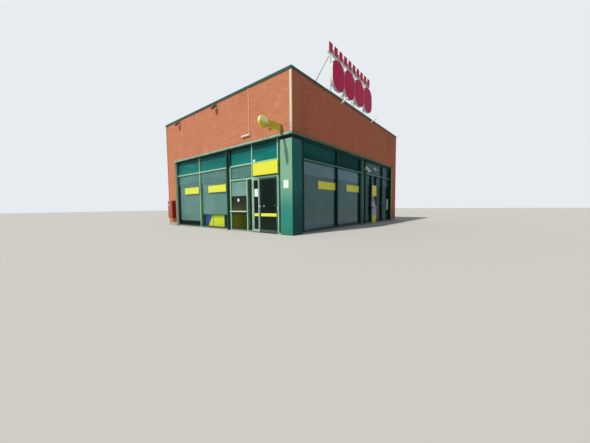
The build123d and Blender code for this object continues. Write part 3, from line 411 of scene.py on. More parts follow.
def drawn_brick(name, across, inward, sign):
    """Brickwork drawn in the surface of a plain party wall, and plaster on its face in the hall."""
    coat = Finish(name, 0.9, 0.2)
    flat = coat.node("ShaderNodeCombineXYZ")
    coat.join(coat.x if across == "X" else coat.y, flat.inputs[0])
    coat.join(coat.z, flat.inputs[1])
    bricks = coat.node("ShaderNodeTexBrick")
    coat.join(flat.outputs[0], bricks.inputs["Vector"])
    settings = {"Scale": 1.0, "Mortar Size": JOINT / 2, "Mortar Smooth": 0.2,
                "Brick Width": BRICK_LENGTH + JOINT, "Row Height": BRICK_RISE + JOINT,
                "Color1": colour((186, 116, 84)), "Color2": colour((172, 105, 76)),
                "Mortar": colour((176, 138, 116))}
    for socket, value in settings.items():
        bricks.inputs[socket].default_value = value
    paint = coat.mottle(bricks.outputs[0], (132, 82, 60), 80, 4, 0.35, 0.7, 0.3)
    paint = coat.mottle(paint, (150, 112, 92), 0.7, 5, 0.45, 0.72, 0.35)
    plaster = coat.mottle((126, 130, 120), (108, 112, 104), 1.2, 4, 0.35, 0.7)
    indoors = coat.times(coat.facing(inward, sign), coat.under(coat.z, ROOF_BOTTOM))
    coat.paint(coat.mix(indoors, paint, plaster))
    coat.bump(coat.most(coat.inverse(bricks.outputs["Fac"]), indoors), 0.006, 0.8)
    coat.bump(coat.noise(150, 3), 0.001, 0.6)
    return coat


def column_finish():
    """Green coated panels, paler towards the top and scuffed near the ground; every face but the entrance
    face takes a deeper copy of the green as painted shade, and the neck under the fascia is dark as painted
    shadow.
    """
    coat = Finish("column_coat", 0.45, 0.12)
    rise = coat.add(coat.z, coat.times(coat.noise(2, 3), 0.9))
    share = coat.spread(rise, 1.2, 2.9)
    sunny = coat.mix(share, (46, 132, 118), (126, 172, 146))
    shady = coat.mix(share, (2, 76, 78), (22, 104, 100))
    # Painted shade: every face but the entrance face takes the shady copy of the green.
    paint = coat.mix(coat.facing("Y", -1), shady, sunny)
    # Painted shadow: the neck under the fascia is dark green.
    paint = coat.mix(coat.over(coat.z, COLUMN_NECK, 0.002), paint, (10, 46, 40))
    paint = coat.mottle(paint, (96, 142, 126), 7, 5, 0.55, 0.8, 0.35, (1, 1, 0.4))
    flecks = coat.patches(34, 3, 0.66, 0.70, 0, 0.7)
    paint = coat.mix(coat.times(flecks, coat.between(coat.z, 1.2, 2.3, 0.4)), paint, (206, 222, 208))
    low = coat.times(coat.spread(coat.z, 0, 0.5, 0.55, 0), coat.noise(11, 4))
    coat.paint(coat.mix(low, paint, (60, 74, 66)))
    coat.rough(coat.patches(16, 3, 0.3, 0.7, 0.3, 0.5))
    coat.bump(coat.noise(1.7, 2), 0.004, 0.5)
    coat.bump(coat.noise(220, 1), 0.0002, 0.4)
    return coat


def fascia_finish():
    """Pale green strip with moss; a darker band under its nosing is painted shadow, the shaded side is a
    darker copy as painted shade and much mossier, and the underside is dark as painted shade.
    """
    coat = Finish("fascia_coat", 0.6, 0.15)
    sunny = coat.mottle((164, 196, 174), (134, 170, 144), 6, 4, 0.35, 0.7)
    # Painted shadow: a darker band below the nosing.
    edge = coat.times(coat.under(coat.z, FASCIA_SHADOW_TOP, 0.007), 0.75)
    sunny = coat.mix(edge, sunny, (92, 138, 116))
    shady = coat.mottle((82, 122, 104), (88, 106, 62), 7, 5, 0.35, 0.7)
    # Painted shade: every face but the entrance face takes the shady copy.
    paint = coat.mix(coat.facing("Y", -1), shady, sunny)
    paint = coat.mottle(paint, (64, 76, 48), 5, 6, 0.5, 0.66, 0.65, (1, 1, 3))
    paint = coat.mottle(paint, (196, 208, 190), 26, 4, 0.62, 0.72, 0.5)
    # Painted shade: the underside is dark.
    coat.paint(coat.mix(coat.facing("Z", -1), paint, (34, 66, 54)))
    coat.bump(coat.noise(34, 4), 0.0015, 0.6)
    return coat


def mullion_finish():
    """Pale coated uprights; the one by the dark post is dark above the transom."""
    coat = coated_metal("front_mullion", (150, 192, 158), 0.4, 0.3, 0.15)
    above = coat.over(coat.z, TRANSOM_TOP, 0.005)
    coat.repaint(coat.times(above, coat.front_span(*SCREEN_JAMB)), (18, 62, 54))
    return coat


def trim_finish():
    """Cream angle on the corner of the brick, rusty at its foot."""
    coat = coated_metal("corner_trim_coat", (214, 204, 178), 0.5, 0.35, 0.15)
    foot = coat.spread(coat.z, BAND_BOTTOM, BAND_BOTTOM + 0.45, 0.9, 0.0)
    rust = coat.patches(16, 5, 0.42, 0.6, stretch=(1, 1, 0.5))
    coat.repaint(coat.times(foot, rust), (132, 74, 40))
    return coat


# The projecting sign: the middle and radius of its disc, its bracket, and the lamp that hangs under it
DISC_REACH = 1.0
DISC_HEIGHT = 4.2
DISC_FACE = 0.23
BRACKET_REACH = 0.12
SIGN_LAMP = (-0.76, -0.595)
SIGN_LAMP_TOP = 4.071


def projecting_sign_finish():
    """Faded yellow with a pale top to the disc, partly print and partly painted light, an olive grey
    bracket, and a lamp under it painted lighter, with a painted highlight on its top.
    """
    coat = Finish("projecting_sign_coat", 0.5, 0.3)
    paint = coat.mottle((214, 200, 52), (196, 178, 40), 3, 4, 0.35, 0.75)
    paint = coat.mottle(paint, (150, 128, 44), 11, 4, 0.55, 0.8, 0.5, (1, 1, 0.5))
    out = coat.math("SUBTRACT", coat.y, CORNER.y - DISC_REACH)
    rise = coat.math("SUBTRACT", coat.z, DISC_HEIGHT)
    reach = coat.math("SQRT", coat.add(coat.times(out, out), coat.times(rise, rise)))
    uneven = coat.add(rise, coat.times(coat.noise(9, 3), 0.1))
    # The pale top of the disc is partly print and partly painted light.
    upper = coat.times(coat.under(reach, DISC_FACE, 0.004), coat.spread(uneven, -0.04, 0.12))
    paint = coat.mix(upper, paint, (255, 248, 176))
    paint = coat.mix(coat.over(coat.y, CORNER.y - BRACKET_REACH, 0.005), paint, (142, 134, 88))
    # Painted light: the lamp stands in the disc's shadow, so it is painted lighter, with a paler top as
    # painted highlight.
    lamp = coat.times(coat.under(coat.z, SIGN_LAMP_TOP, 0.002), coat.side_span(*SIGN_LAMP))
    painted_lit_top = coat.mix(coat.spread(coat.z, 4.03, 4.06), (206, 128, 74), (255, 226, 166))
    coat.paint(coat.mix(lamp, paint, painted_lit_top))
    coat.bump(coat.noise(30, 2), 0.0005, 0.4)
    return coat


# The dark hanger of the wall lamp: its span along the side face, and its heights
HANGER = (8.09, 8.15)
HANGER_HEIGHT = (3.56, 3.9)


def lamp_finish():
    """Cream lamps on the side face, paler and bluer under the fascia as painted skylight, and dark floods
    on the entrance face.
    """
    coat = coated_metal("lamp_coat", (240, 240, 232), 0.5, 0.3, 0.12)
    high = coat.over(coat.z, FLOOD_FOOT, 0.005)
    flood = coat.times(high, coat.under(coat.x, CORNER.x - FLOODS_FROM, 0.005))
    coat.repaint(flood, coat.mottle((74, 66, 56), (112, 84, 62), 14, 3, 0.35, 0.7))
    # Painted light: the lamps under the fascia get a cool pale tint that stands in for skylight.
    coat.repaint(coat.under(coat.z, BAND_BOTTOM), (214, 244, 240))
    hanger = coat.times(coat.side_span(*HANGER), coat.between(coat.z, *HANGER_HEIGHT))
    coat.repaint(hanger, (40, 70, 60))
    return coat


def letterbox_finish():
    """Red coat: brighter orange red on the sunny front, and a deep red copy on the side face as painted
    shade.
    """
    coat = coated_metal("red_coat", (162, 84, 54), 0.4, 0.3, 0.12)
    shade = coat.mottle((178, 14, 12), (140, 20, 14), 5, 4, 0.35, 0.7)
    # Painted shade: faces looking along the side face take the deep red.
    coat.repaint(coat.facing("X"), shade)
    return coat


def reveal_finish():
    """Linings of the piers: pale on the entrance face and dark green on the side face."""
    coat = coated_metal("reveal_coat", (206, 216, 190), 0.5, 0.35, 0.15)
    coat.repaint(coat.front_span(*CORNER_REVEAL), (22, 66, 60))
    return coat


def panel_finish(name, low, high, shine):
    """Smooth opaque panels with a soft change of tone, darker past the side face's first bay."""
    coat = Finish(name, 0.3, shine)
    drift = coat.add(coat.z, coat.times(coat.noise(0.55, 2), 1.1))
    paint = coat.mix(coat.spread(drift, 3.6, 4.3), low, high)
    paint = coat.mottle(paint, lighter(low, 1.5, 10), 0.9, 4, 0.5, 0.8, 0.35, (0.7, 0.7, 3.2))
    coat.paint(coat.mottle(paint, (50, 110, 102), 7, 3, 0.5, 0.85, 0.14, (1, 1, 0.6)))
    darker = coat.mix(1.0, paint, (0.35, 0.55, 0.64, 1.0), "MULTIPLY")
    coat.repaint(coat.over(coat.y, CORNER.y + SECOND_SIDE_BAY), darker)
    coat.rough(coat.patches(9, 3, 0.3, 0.7, 0.22, 0.38))
    return coat


CLEAN_MIRROR = (0.76, 0.92, 0.88, 1.0)
CALM_MIRROR = (0.46, 0.58, 0.50, 1.0)
KNEE_MIRROR = (0.25, 0.25, 0.25, 1.0)
SIDE_MIRROR = (0.58, 0.70, 0.72, 1.0)
LEAF_MIRROR = (0.5, 0.7, 0.66, 1.0)


def glass_finish(name, tint, least, dust, film, painted_glare=0.0, shine=CLEAN_MIRROR, dim=0.5, splash=0.03):
    """Clear panes with a dusty film, and high up a pale haze of painted reflection and a brighter mirror;
    they mirror more at a flat angle.
    """
    coat = Finish(name, 0.03, 0.5)

    # Where the glass differs: the fixed screen, the foot of the last bay, the narrow light by the doors
    # with the side face beyond its post, and the lowest part of the glazing past the doors
    screen = coat.times(coat.under(coat.z, FILM_BOTTOM, 0.01), coat.front_span(*SCREEN))
    last_bay = coat.under(coat.x, CORNER.x - LAST_FRONT_BAY, 0.05)
    # Painted shade: the darker tint at the foot of the last bay stands in for the shade under its blind.
    foot = coat.times(coat.under(coat.z, 0.36, 0.02), last_bay)
    light = coat.times(coat.front_span(*SIDE_LIGHT), coat.under(coat.z, DOOR_HEAD))
    calm = coat.most(light, coat.over(coat.y, CORNER.y + THIRD_SIDE_BAY))
    past_doors = coat.under(coat.x, CORNER.x - GLASS_BY_DOORS)
    knee = coat.times(coat.spread(coat.z, 0.70, 0.95, 1.0, 0.0), past_doors)

    clear = coat.node("ShaderNodeBsdfTransparent")
    coat.join(coat.mix(coat.most(screen, foot), tint, (112, 138, 112)), clear.inputs[0])

    mirror = coat.node("ShaderNodeBsdfGlossy")
    mirror.inputs["Roughness"].default_value = 0.02
    beam = coat.mix(coat.spread(coat.z, 2.3, 2.7), toned(shine, dim), shine)
    beam = coat.mix(calm, beam, CALM_MIRROR, "MULTIPLY")
    coat.join(coat.mix(knee, beam, KNEE_MIRROR, "MULTIPLY"), mirror.inputs["Color"])

    grime = coat.node("ShaderNodeBsdfDiffuse")
    coat.join(coat.mix(screen, film, (112, 122, 22)), grime.inputs["Color"])
    smears = coat.patches(2.2, 5, 0.3, 0.75, dust * 0.75, dust * 1.25, (1, 1, 0.45))
    splashes = coat.spread(coat.z, 0.3, 0.85, splash, 0.0)
    # Painted reflection: a pale haze high up stands in for the sky mirrored in the upper glass.
    painted_glare_clouds = coat.patches(1.6, 4, 0.3, 0.7, painted_glare * 0.7, painted_glare * 1.2, (0.5, 0.5, 3))
    high = coat.times(coat.spread(coat.z, 2.46, 2.52), painted_glare_clouds)
    share = coat.add(coat.add(smears, splashes), high, True)
    share = coat.times(share, coat.spread(coat.most(calm, knee), 0.0, 1.0, 1.0, 0.45))
    olive = coat.times(screen, coat.spread(coat.z, 0.8, 1.45, 0.3, 0.0),
                         coat.spread(coat.x, CORNER.x - 3.8, CORNER.x - 2.9, 1.0, 0.45))
    dusty = coat.blend(coat.add(share, olive, True), clear, grime)

    bend = coat.node("ShaderNodeFresnel")
    bend.inputs["IOR"].default_value = 1.5
    glare = coat.add(coat.times(bend.outputs[0], 0.9), least, True)
    outside = coat.inverse(coat.node("ShaderNodeNewGeometry").outputs["Backfacing"])
    pane = coat.blend(coat.times(glare, outside), dusty, mirror)
    coat.join(pane.outputs[0], coat.output.inputs[0])
    return coat


def concrete_finish(name, base):
    coat = Finish(name, 0.9, 0.2)
    tone = colour(base)
    dark = toned(tone, 0.6)
    paint = coat.mottle(tone, dark, 5, 6, 0.35, 0.7, 0.6)
    coat.paint(coat.mottle(paint, dark, 120, 2, 0.6, 0.75, 0.4))
    coat.bump(coat.noise(60, 5), 0.002, 0.6)
    return coat


def roof_finish():
    """Mineral felt in lapped strips a metre wide, with grey patches where water stands."""
    coat = Finish("roof_felt", 0.92, 0.2)
    paint = coat.mottle((104, 106, 104), (134, 136, 132), 55, 3, 0.35, 0.7)
    paint = coat.mottle(paint, (84, 84, 80), 0.45, 4, 0.5, 0.68, 0.5)
    lap = coat.math("FRACT", coat.add(coat.x, 20.0))
    seam = coat.times(coat.near(lap, 0.5, 0.02), 0.7)
    coat.paint(coat.mix(seam, paint, (60, 60, 58)))
    coat.bump(coat.over(lap, 0.5, 0.02), 0.006, 0.9)
    coat.bump(coat.noise(90, 3), 0.0015, 0.7)
    return coat


def plastic_finish(name, base, roughness=0.35, wear=0.2):
    coat = Finish(name, roughness, 0.45)
    tone = colour(base)
    paint = coat.mottle(tone, toned(tone, 0.8, 0.12), 2.6, 4, 0.4, 0.75, wear)
    coat.paint(coat.mottle(paint, toned(tone, 0.62), 10, 4, 0.55, 0.8, wear, (1.8, 1.8, 0.2)))
    coat.rough(coat.patches(18, 2, 0.3, 0.7, roughness - 0.06, roughness + 0.12))
    coat.bump(coat.noise(30, 2), 0.0004, 0.4)
    return coat


def sign_plate_finish():
    """Crimson faces with white returns."""
    coat = Finish("roof_sign_face", 0.35, 0.08)
    crimson = coat.mottle((206, 4, 82), (196, 16, 92), 3, 4, 0.4, 0.75, 0.3)
    returns = coat.mottle((226, 228, 228), (150, 150, 146), 8, 4, 0.5, 0.8, 0.35, (1, 1, 0.3))
    coat.paint(coat.mix(coat.facing("X"), returns, crimson))
    coat.bump(coat.noise(26, 2), 0.0006, 0.4)
    return coat


def blind_finish(name, one, two):
    """Grey green blind cloth with a fine weave."""
    coat = Finish(name, 0.85, 0.1)
    threads = 2400.0
    paint = coat.mottle(one, two, 1.4, 3, 0.35, 0.7)
    upright = coat.math("SINE", coat.times(coat.z, threads))
    across = coat.math("SINE", coat.times(coat.add(coat.x, coat.y), threads))
    weave = coat.times(upright, across)
    coat.paint(coat.mix(coat.spread(weave, -1.0, 1.0, 0.0, 0.18), paint, (92, 126, 122)))
    coat.bump(weave, 0.0004, 0.5)
    return coat


def board_finish():
    """A low board in bare yellow, darkened to olive towards the top as painted shadow, and a blue part that
    a yellow slope cuts.
    """
    coat = Finish("display_board_face", 0.5, 0.4)
    edge = CORNER.x - BOARD_EDGE
    slope = coat.times(coat.math("SUBTRACT", edge, coat.x), 1.45)
    blue = coat.times(coat.under(coat.x, edge), coat.over(coat.add(coat.z, slope), 0.78))
    # Painted shadow: the yellow darkens to olive towards the top of the board.
    yellow = coat.mix(coat.spread(coat.z, 0.50, 0.66, 0.0, 0.6), (255, 246, 10), (120, 136, 4))
    yellow = coat.mix(coat.between(coat.x, edge + 0.01, edge + 0.05), yellow, (120, 130, 12))
    paint = coat.mix(blue, yellow, (20, 66, 150))
    coat.paint(coat.mottle(paint, (150, 150, 60), 3, 4, 0.45, 0.8, 0.15))
    coat.bump(coat.noise(40, 2), 0.0003, 0.4)
    return coat


MACHINE_HEADER = 1.76
MACHINE_FOOT = 0.5


def machine_finish():
    """The cash machine: a yellow header, a lilac grey middle and a yellow foot, all bare."""
    coat = Finish("machine_coat", 0.4, 0.5)
    yellow = coat.mottle((226, 214, 40), (190, 176, 50), 5, 4, 0.4, 0.75, 0.25)
    grey = coat.mottle((158, 154, 172), (120, 118, 132), 6, 4, 0.4, 0.75, 0.4)
    ends = coat.add(coat.over(coat.z, MACHINE_HEADER), coat.under(coat.z, MACHINE_FOOT), True)
    paint = coat.mix(ends, grey, yellow)
    coat.paint(coat.mix(coat.facing("Y", -1), paint, (58, 62, 64)))
    coat.bump(coat.noise(60, 2), 0.0004, 0.4)
    return coat


def ceiling_finish():
    """Pale square ceiling boards with grey joints."""
    coat = Finish("ceiling_tiles", 0.9, 0.2)
    paint = coat.mottle((206, 206, 198), (186, 186, 178), 60, 3, 0.4, 0.7)
    coat.paint(coat.mix(coat.times(coat.grid(0.6, 0.03), 0.5), paint, (120, 120, 116)))
    return coat


def tile_finish():
    """Hall floor: large grey tiles with darker joints."""
    coat = Finish("floor_tiles", 0.4, 0.5)
    paint = coat.mottle((74, 72, 66), (56, 54, 50), 18, 5, 0.35, 0.7)
    coat.paint(coat.mix(coat.grid(0.4, 0.02), paint, (38, 36, 34)))
    return coat


def bright_metal(name, base=(196, 200, 198), roughness=0.32):
    """Brushed bare metal."""
    coat = Finish(name, roughness, metallic=0.9)
    coat.paint(coat.mottle(base, lighter(base, 0.8), 90, 3, 0.3, 0.7, 1, (1, 1, 0.08)))
    coat.rough(coat.patches(30, 3, 0.3, 0.7, roughness - 0.08, roughness + 0.16))
    return coat


def rubber_finish():
    coat = Finish("black_gasket", 0.7, 0.3)
    coat.paint(coat.mottle((16, 24, 24), (34, 44, 42), 30, 3, 0.35, 0.7))
    return coat


def film_finish():
    """Frosted film on the fixed screen."""
    coat = Finish("frosted_film", 0.6, 0.3)
    coat.paint(coat.mottle((116, 156, 148), (102, 142, 136), 1.5, 3, 0.3, 0.7))
    coat.bump(coat.noise(300, 1), 0.0002, 0.5)
    return coat


def screen_finish():
    """The dark glass of the machine's screen, with finger marks."""
    coat = Finish("screen_glass", 0.15, 0.5)
    coat.paint(coat.mottle((22, 26, 32), (60, 66, 72), 24, 4, 0.5, 0.8, 0.4))
    coat.rough(coat.patches(24, 4, 0.4, 0.8, 0.1, 0.4))
    return coat


# Mesh pieces

def corners(*places):
    """The lowest and highest corner of some places."""
    return Vector(map(min, zip(*places))), Vector(map(max, zip(*places)))


def turned(axis):
    """The turn that stands a form up along an axis."""
    return Vector(axis).to_track_quat("Z", "Y").to_matrix().to_4x4()


class Shape:
    """Collects closed forms into one mesh."""

    def __init__(self):
        self.mesh = bmesh.new()

    def box(self, low, high, bevel=0.0, segments=2):
        """A box between two corners, with rounded edges if a bevel is given."""
        made = bmesh.ops.create_cube(self.mesh, size=1.0)["verts"]
        middle = (Vector(low) + Vector(high)) / 2
        size = Vector(high) - Vector(low)
        for vert in made:
            vert.co = Vector(vert.co[i] * size[i] + middle[i] for i in range(3))
        if bevel:
            edges = {edge for vert in made for edge in vert.link_edges}
            bmesh.ops.bevel(self.mesh, geom=list(edges), offset=bevel, segments=segments, profile=0.5,
                            affect="EDGES")
        return self

    def slab(self, place, along, depth, height, bevel=0.0):
        """A box on a street face, from its spans along, into and up the face."""
        one = place(along[0], depth[0], height[0])
        two = place(along[1], depth[1], height[1])
        return self.box(*corners(one, two), bevel)

    def tube(self, start, end, radius, sides):
        """A round bar between two places."""
        axis = end - start
        place = Matrix.Translation((start + end) / 2) @ turned(axis)
        bmesh.ops.create_cone(self.mesh, cap_ends=True, segments=sides, radius1=radius, radius2=radius,
                              depth=axis.length, matrix=place)
        return self

    def dome(self, middle, radius, axis, squash, rings=6, sides=16):
        """A flattened round head, such as a screw or rivet."""
        flat = Matrix.Diagonal((1.0, 1.0, squash, 1.0))
        bmesh.ops.create_uvsphere(self.mesh, u_segments=sides, v_segments=rings, radius=radius,
                                  matrix=Matrix.Translation(middle) @ turned(axis) @ flat)
        return self

    def prism(self, points, low, high, place):
        """A flat outline pushed between two values; place turns (a, b, c) into a point."""
        ends = []
        for value in (low, high):
            ends.append([self.mesh.verts.new(place(a, b, value)) for a, b in points])
        self.mesh.faces.new(ends[0])
        self.mesh.faces.new(list(reversed(ends[1])))
        for i in range(len(points)):
            j = (i + 1) % len(points)
            self.mesh.faces.new((ends[0][i], ends[0][j], ends[1][j], ends[1][i]))
        return self

    def finish(self, name, coat, body="building", slot=None, smooth=False):
        """The mesh as a piece of the scene that rides on a body."""
        bmesh.ops.recalc_face_normals(self.mesh, faces=self.mesh.faces)
        data = bpy.data.meshes.new(name)
        self.mesh.to_mesh(data)
        self.mesh.free()
        piece = add_object(name, data)
        data.materials.append(coat.material)
        for face in data.polygons:
            face.use_smooth = smooth
        if smooth:
            data.set_sharp_from_angle(angle=math.radians(35))
        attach(piece, body)
        return piece


SEED = 7
BRICK_PROUD = 0.0028
BRICK_UNEVEN = 0.0008
BRICK_BED = 0.002
THINNEST_COURSE = 0.012
SHORTEST_BRICK = 0.02
BOX_CORNERS = 8


def add_brickwork(name, coat, *areas):
    """Bricks in half bond, proud of the mortar. An area is (place, span along, span of height)."""
    dice = random.Random(SEED)
    shape = Shape()
    tones = []
    rise = BRICK_RISE + JOINT
    for place, (first, last), (low, high) in areas:
        start = math.floor((low - BAND_BOTTOM) / rise)
        end = math.ceil((high - BAND_BOTTOM) / rise)
        for course in range(start, end):
            bed = BAND_BOTTOM + course * rise + JOINT / 2
            z0, z1 = max(low, bed), min(high, bed + BRICK_RISE)
            if z1 - z0 < THINNEST_COURSE:
                continue
            near = first - (BRICK_LENGTH + JOINT) * (0.5 if course % 2 else 0.0)
            while near < last:
                a0, a1 = max(first, near), min(last, near + BRICK_LENGTH)
                if a1 - a0 > SHORTEST_BRICK:
                    out = BRICK_PROUD + dice.uniform(-BRICK_UNEVEN, BRICK_UNEVEN)
                    shape.slab(place, (a0, a1), (-out, BRICK_BED), (z0, z1))
                    tones.append((dice.random(), dice.random(), dice.random(), 1.0))
                near += BRICK_LENGTH + JOINT
    shape.mesh.verts.index_update()
    piece = shape.finish(name, coat, slot="brick")
    layer = piece.data.color_attributes.new(name="tone", type="FLOAT_COLOR", domain="POINT")
    for index, item in enumerate(layer.data):
        item.color = tones[index // BOX_CORNERS]


def islands(node):
    """The boxes round the separate solids of a frame node."""
    mesh = bmesh.new()
    mesh.from_mesh(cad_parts[node].data)
    bmesh.ops.remove_doubles(mesh, verts=mesh.verts, dist=1e-5)
    mesh.verts.ensure_lookup_table()
    seen, boxes = set(), []
    for vert in mesh.verts:
        if vert.index in seen:
            continue
        stack, group = [vert], []
        seen.add(vert.index)
        while stack:
            one = stack.pop()
            group.append(one.co.copy())
            for edge in one.link_edges:
                other = edge.other_vert(one)
                if other.index not in seen:
                    seen.add(other.index)
                    stack.append(other)
        boxes.append(corners(*group))
    mesh.free()
    return boxes


def add_gaskets(name, node, body="building", bite=0.02, width=0.009, rise=0.004):
    """A rubber strip round the outer face of each pane, where it meets its bars."""
    shape = Shape()
    for low, high in islands(node):
        on_front = high.y - low.y < high.x - low.x
        axis = 0 if on_front else 1
        a0, a1 = low[axis] + bite, high[axis] - bite
        z0, z1 = low.z + bite, high.z - bite
        for a, b, c, d in ((a0, a0 + width, z0, z1), (a1 - width, a1, z0, z1),
                           (a0 + width, a1 - width, z0, z0 + width),
                           (a0 + width, a1 - width, z1 - width, z1)):
            if on_front:
                ends = (a, low.y - rise, c), (b, low.y + 0.001, d)
            else:
                ends = (high.x + rise, a, c), (high.x - 0.001, b, d)
            shape.box(*corners(*ends), 0.0015, 1)
    shape.finish(name, gasket, body, "bare_steel")


def add_plate(name, coat, place, along, height, depth, thick, slot, body="building", bevel=0.002):
    """A thin plate or film whose outer face is at a depth on one street face."""
    shape = Shape().slab(place, along, (depth, depth + thick), height, min(bevel, thick * 0.45))
    shape.finish(name, coat, body, slot)


# Finishes for the nodes that come from the frame

def dress(coat, *nodes):
    for name in nodes:
        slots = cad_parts[name].data.materials
        slots.clear()
        slots.append(coat.material)


add_camera()

yellow = plastic_finish("yellow_sheet", (224, 226, 56), 0.4, 0.12)
white_sheet = plastic_finish("white_sheet", (222, 236, 230), 0.5, 0.15)
poster_sheet = plastic_finish("poster_sheet", (176, 204, 196), 0.5, 0.15)
grey_sheet = plastic_finish("grey_sheet", (84, 100, 104), 0.5, 0.15)
# Painted highlight: the handle and the jamb button get a pale coat that stands in for the glare of bright
# metal.
pale_glint_metal = coated_metal("handle_coat_glint", (226, 232, 232), 0.35, 0.2, 0.1, 0.4)
steel = bright_metal("satin_steel")
gasket = rubber_finish()
brick = brick_finish()

# Coated metal: name, colour, roughness, dirt, fading and, where it isn't the usual one, shine
for settings, nodes in (
        (("deep_green_bar", (10, 54, 52), 0.4, 0.25, 0.1, 0.06), ("side_mullions",)),
        (("green_bar", (30, 88, 76), 0.4, 0.25, 0.08, 0.12), ("side_post",)),
        # The front post beside the column is dark as painted shade in the gap by the column; the other
        # posts and the downpipe are dark green.
        (("dark_green_bar", (20, 70, 60), 0.3, 0.25, 0.12), ("front_posts", "front_downpipe")),
        (("main_leaf_bar", (58, 84, 76), 0.36, 0.3, 0.14), ("main_door_frame",)),
        (("narrow_leaf_bar", (150, 176, 166), 0.36, 0.3, 0.14), ("narrow_door_frame",)),
        (("push_rail_coat", (208, 222, 208), 0.4, 0.3, 0.12), ("screen_push_rail",)),
        (("coping_coat", (46, 80, 78), 0.45, 0.4, 0.2), ("parapet_coping", "coping_straps")),
        (("conduit_coat", (226, 174, 146), 0.55, 0.3, 0.15), ("wall_conduits",)),
        (("white_steel", (226, 228, 226), 0.45, 0.35, 0.12),
         ("roof_sign_posts", "roof_sign_rails", "roof_sign_stays", "roof_sign_feet", "wall_lamp"))):
    dress(coated_metal(*settings), *nodes)

dress(mortar_finish(), "front_brick_band", "side_brick_band", "front_pier", "side_pier")
dress(drawn_brick("west_brickwork", "Y", "X", 1), "west_party_wall")
dress(drawn_brick("back_brickwork", "X", "Y", -1), "back_party_wall")
dress(concrete_finish("pale_concrete", (176, 172, 162)), "pier_plinths")
dress(concrete_finish("sill_concrete", (160, 154, 142)), "glazing_sills")
# Painted shade: the lintels are a dark green grey, as their soffit lies in shade.
dress(concrete_finish("lintel_concrete_painted_shade", (58, 82, 70)), "front_lintel", "side_lintel")
dress(tile_finish(), "floor_slab")
dress(roof_finish(), "roof_slab")
dress(ceiling_finish(), "suspended_ceiling")
dress(fascia_finish(), "fascia_strip")
dress(trim_finish(), "corner_trim")
dress(column_finish(), "corner_column")
dress(mullion_finish(), "front_mullions")
dress(reveal_finish(), "reveal_trims")
dress(bar_finish("front_rail", (154, 196, 164), (18, 62, 52), 0.5, 3.5), "front_transoms")
# Painted shade: on the side transoms only the upper edge stays pale, and the rest is dark.
dress(bar_finish("side_rail", (108, 152, 146), (22, 70, 66), 3.088, 3.5), "side_transoms")
dress(panel_finish("teal_panel", (16, 118, 110), (8, 94, 94), 0.12), "front_spandrels")
dress(panel_finish("dark_panel", (14, 68, 72), (26, 90, 88), 0.02), "side_spandrels")
dress(glass_finish("front_pane", (247, 252, 249), 0.04, 0.05, (112, 176, 168), 0.24), "front_glass")
dress(glass_finish("side_pane", (222, 238, 234), 0.04, 0.08, (124, 168, 188), 0.32, SIDE_MIRROR, 0.95,
                   0.16), "side_glass")
dress(glass_finish("leaf_pane", (150, 186, 180), 0.01, 0.03, (84, 120, 110), 0.0, LEAF_MIRROR),
      "main_door_glass", "narrow_door_glass")
dress(steel, "door_hinges")
dress(pale_glint_metal, "main_door_handle")
dress(yellow, "door_sign_box", "window_strips")
dress(projecting_sign_finish(), "projecting_sign")
dress(sign_plate_finish(), "roof_sign_plates")
dress(lamp_finish(), "outside_lamps")
dress(letterbox_finish(), "letterbox")
dress(blind_finish("front_blind_cloth", (110, 146, 144), (126, 156, 158)), "front_blinds")
dress(blind_finish("side_blind_cloth", (90, 116, 110), (102, 130, 124)), "side_blinds")
dress(board_finish(), "display_board")
dress(machine_finish(), "cash_machine")

# Brickwork on the street faces. The bricks of each band stop short of the trim or of the other face.
BAND = (BAND_BOTTOM, BAND_TOP)
PIER = (PLINTH_TOP, BAND_BOTTOM)
add_brickwork("front_bricks", brick, (front, (0.096, FRONT_LENGTH), BAND),
              (front, (FRONT_LENGTH - FRONT_PIER, FRONT_LENGTH), PIER))
add_brickwork("side_bricks", brick, (side, (0.03, SIDE_LENGTH), BAND),
              (side, (SIDE_LENGTH - SIDE_PIER, SIDE_LENGTH), PIER))

# Gaskets round the panes and panels
for face in ("front_", "side_"):
    add_gaskets(face + "gaskets", face + "glass")
    add_gaskets(face + "panel_gaskets", face + "spandrels")
for leaf in ("main_door", "narrow_door"):
    add_gaskets(leaf + "_gaskets", leaf + "_glass", leaf, 0.015, 0.008, 0.003)

# Films, notices and bands, all bare
FILM = 0.002
SHEET = 0.003
LEAF_BAND = (0.73, 0.86)
for settings in (
        ("main_door_band", yellow, front, (0.98, 1.92), LEAF_BAND, LEAF_GLASS - FILM, FILM, "yellow_sign",
         "main_door"),
        ("narrow_door_band", yellow, front, (2.08, 2.34), LEAF_BAND, LEAF_GLASS - FILM, FILM, "yellow_sign",
         "narrow_door"),
        ("narrow_door_notice", white_sheet, front, (2.09, 2.32), (1.60, 1.94), LEAF_GLASS - SHEET, SHEET,
         "white_lamp", "narrow_door"),
        ("column_notice", white_sheet, front, (0.22, 0.48), (1.87, 2.19), COLUMN_FACE - 0.004, 0.006,
         "white_lamp"),
        ("screen_film", film_finish(), front, (2.86, 4.02), (FILM_BOTTOM, 2.39), FRONT_GLASS - FILM, FILM,
         "blind_cloth"),
        ("screen_sticker", white_sheet, front, (3.47, 3.60), (1.40, 1.54), FRONT_GLASS - SHEET, SHEET,
         "white_lamp"),
        ("side_poster", poster_sheet, side, (11.16, 11.56), (0.82, 1.62), SIDE_GLASS - SHEET, SHEET,
         "white_lamp"),
        ("letterbox_label", white_sheet, front, (9.90, 10.03), (1.27, 1.36), BOX_FACE - 0.003, 0.004,
         "white_lamp"),
        # The letterbox mouth is a dark sheet that stands in for the shade inside the slot: painted shade.
        ("letterbox_mouth", gasket, front, (9.72, 9.99), (1.325, 1.355), BOX_FACE + 0.0015, 0.004,
         "bare_steel", "building", 0.0)):
    add_plate(*settings)

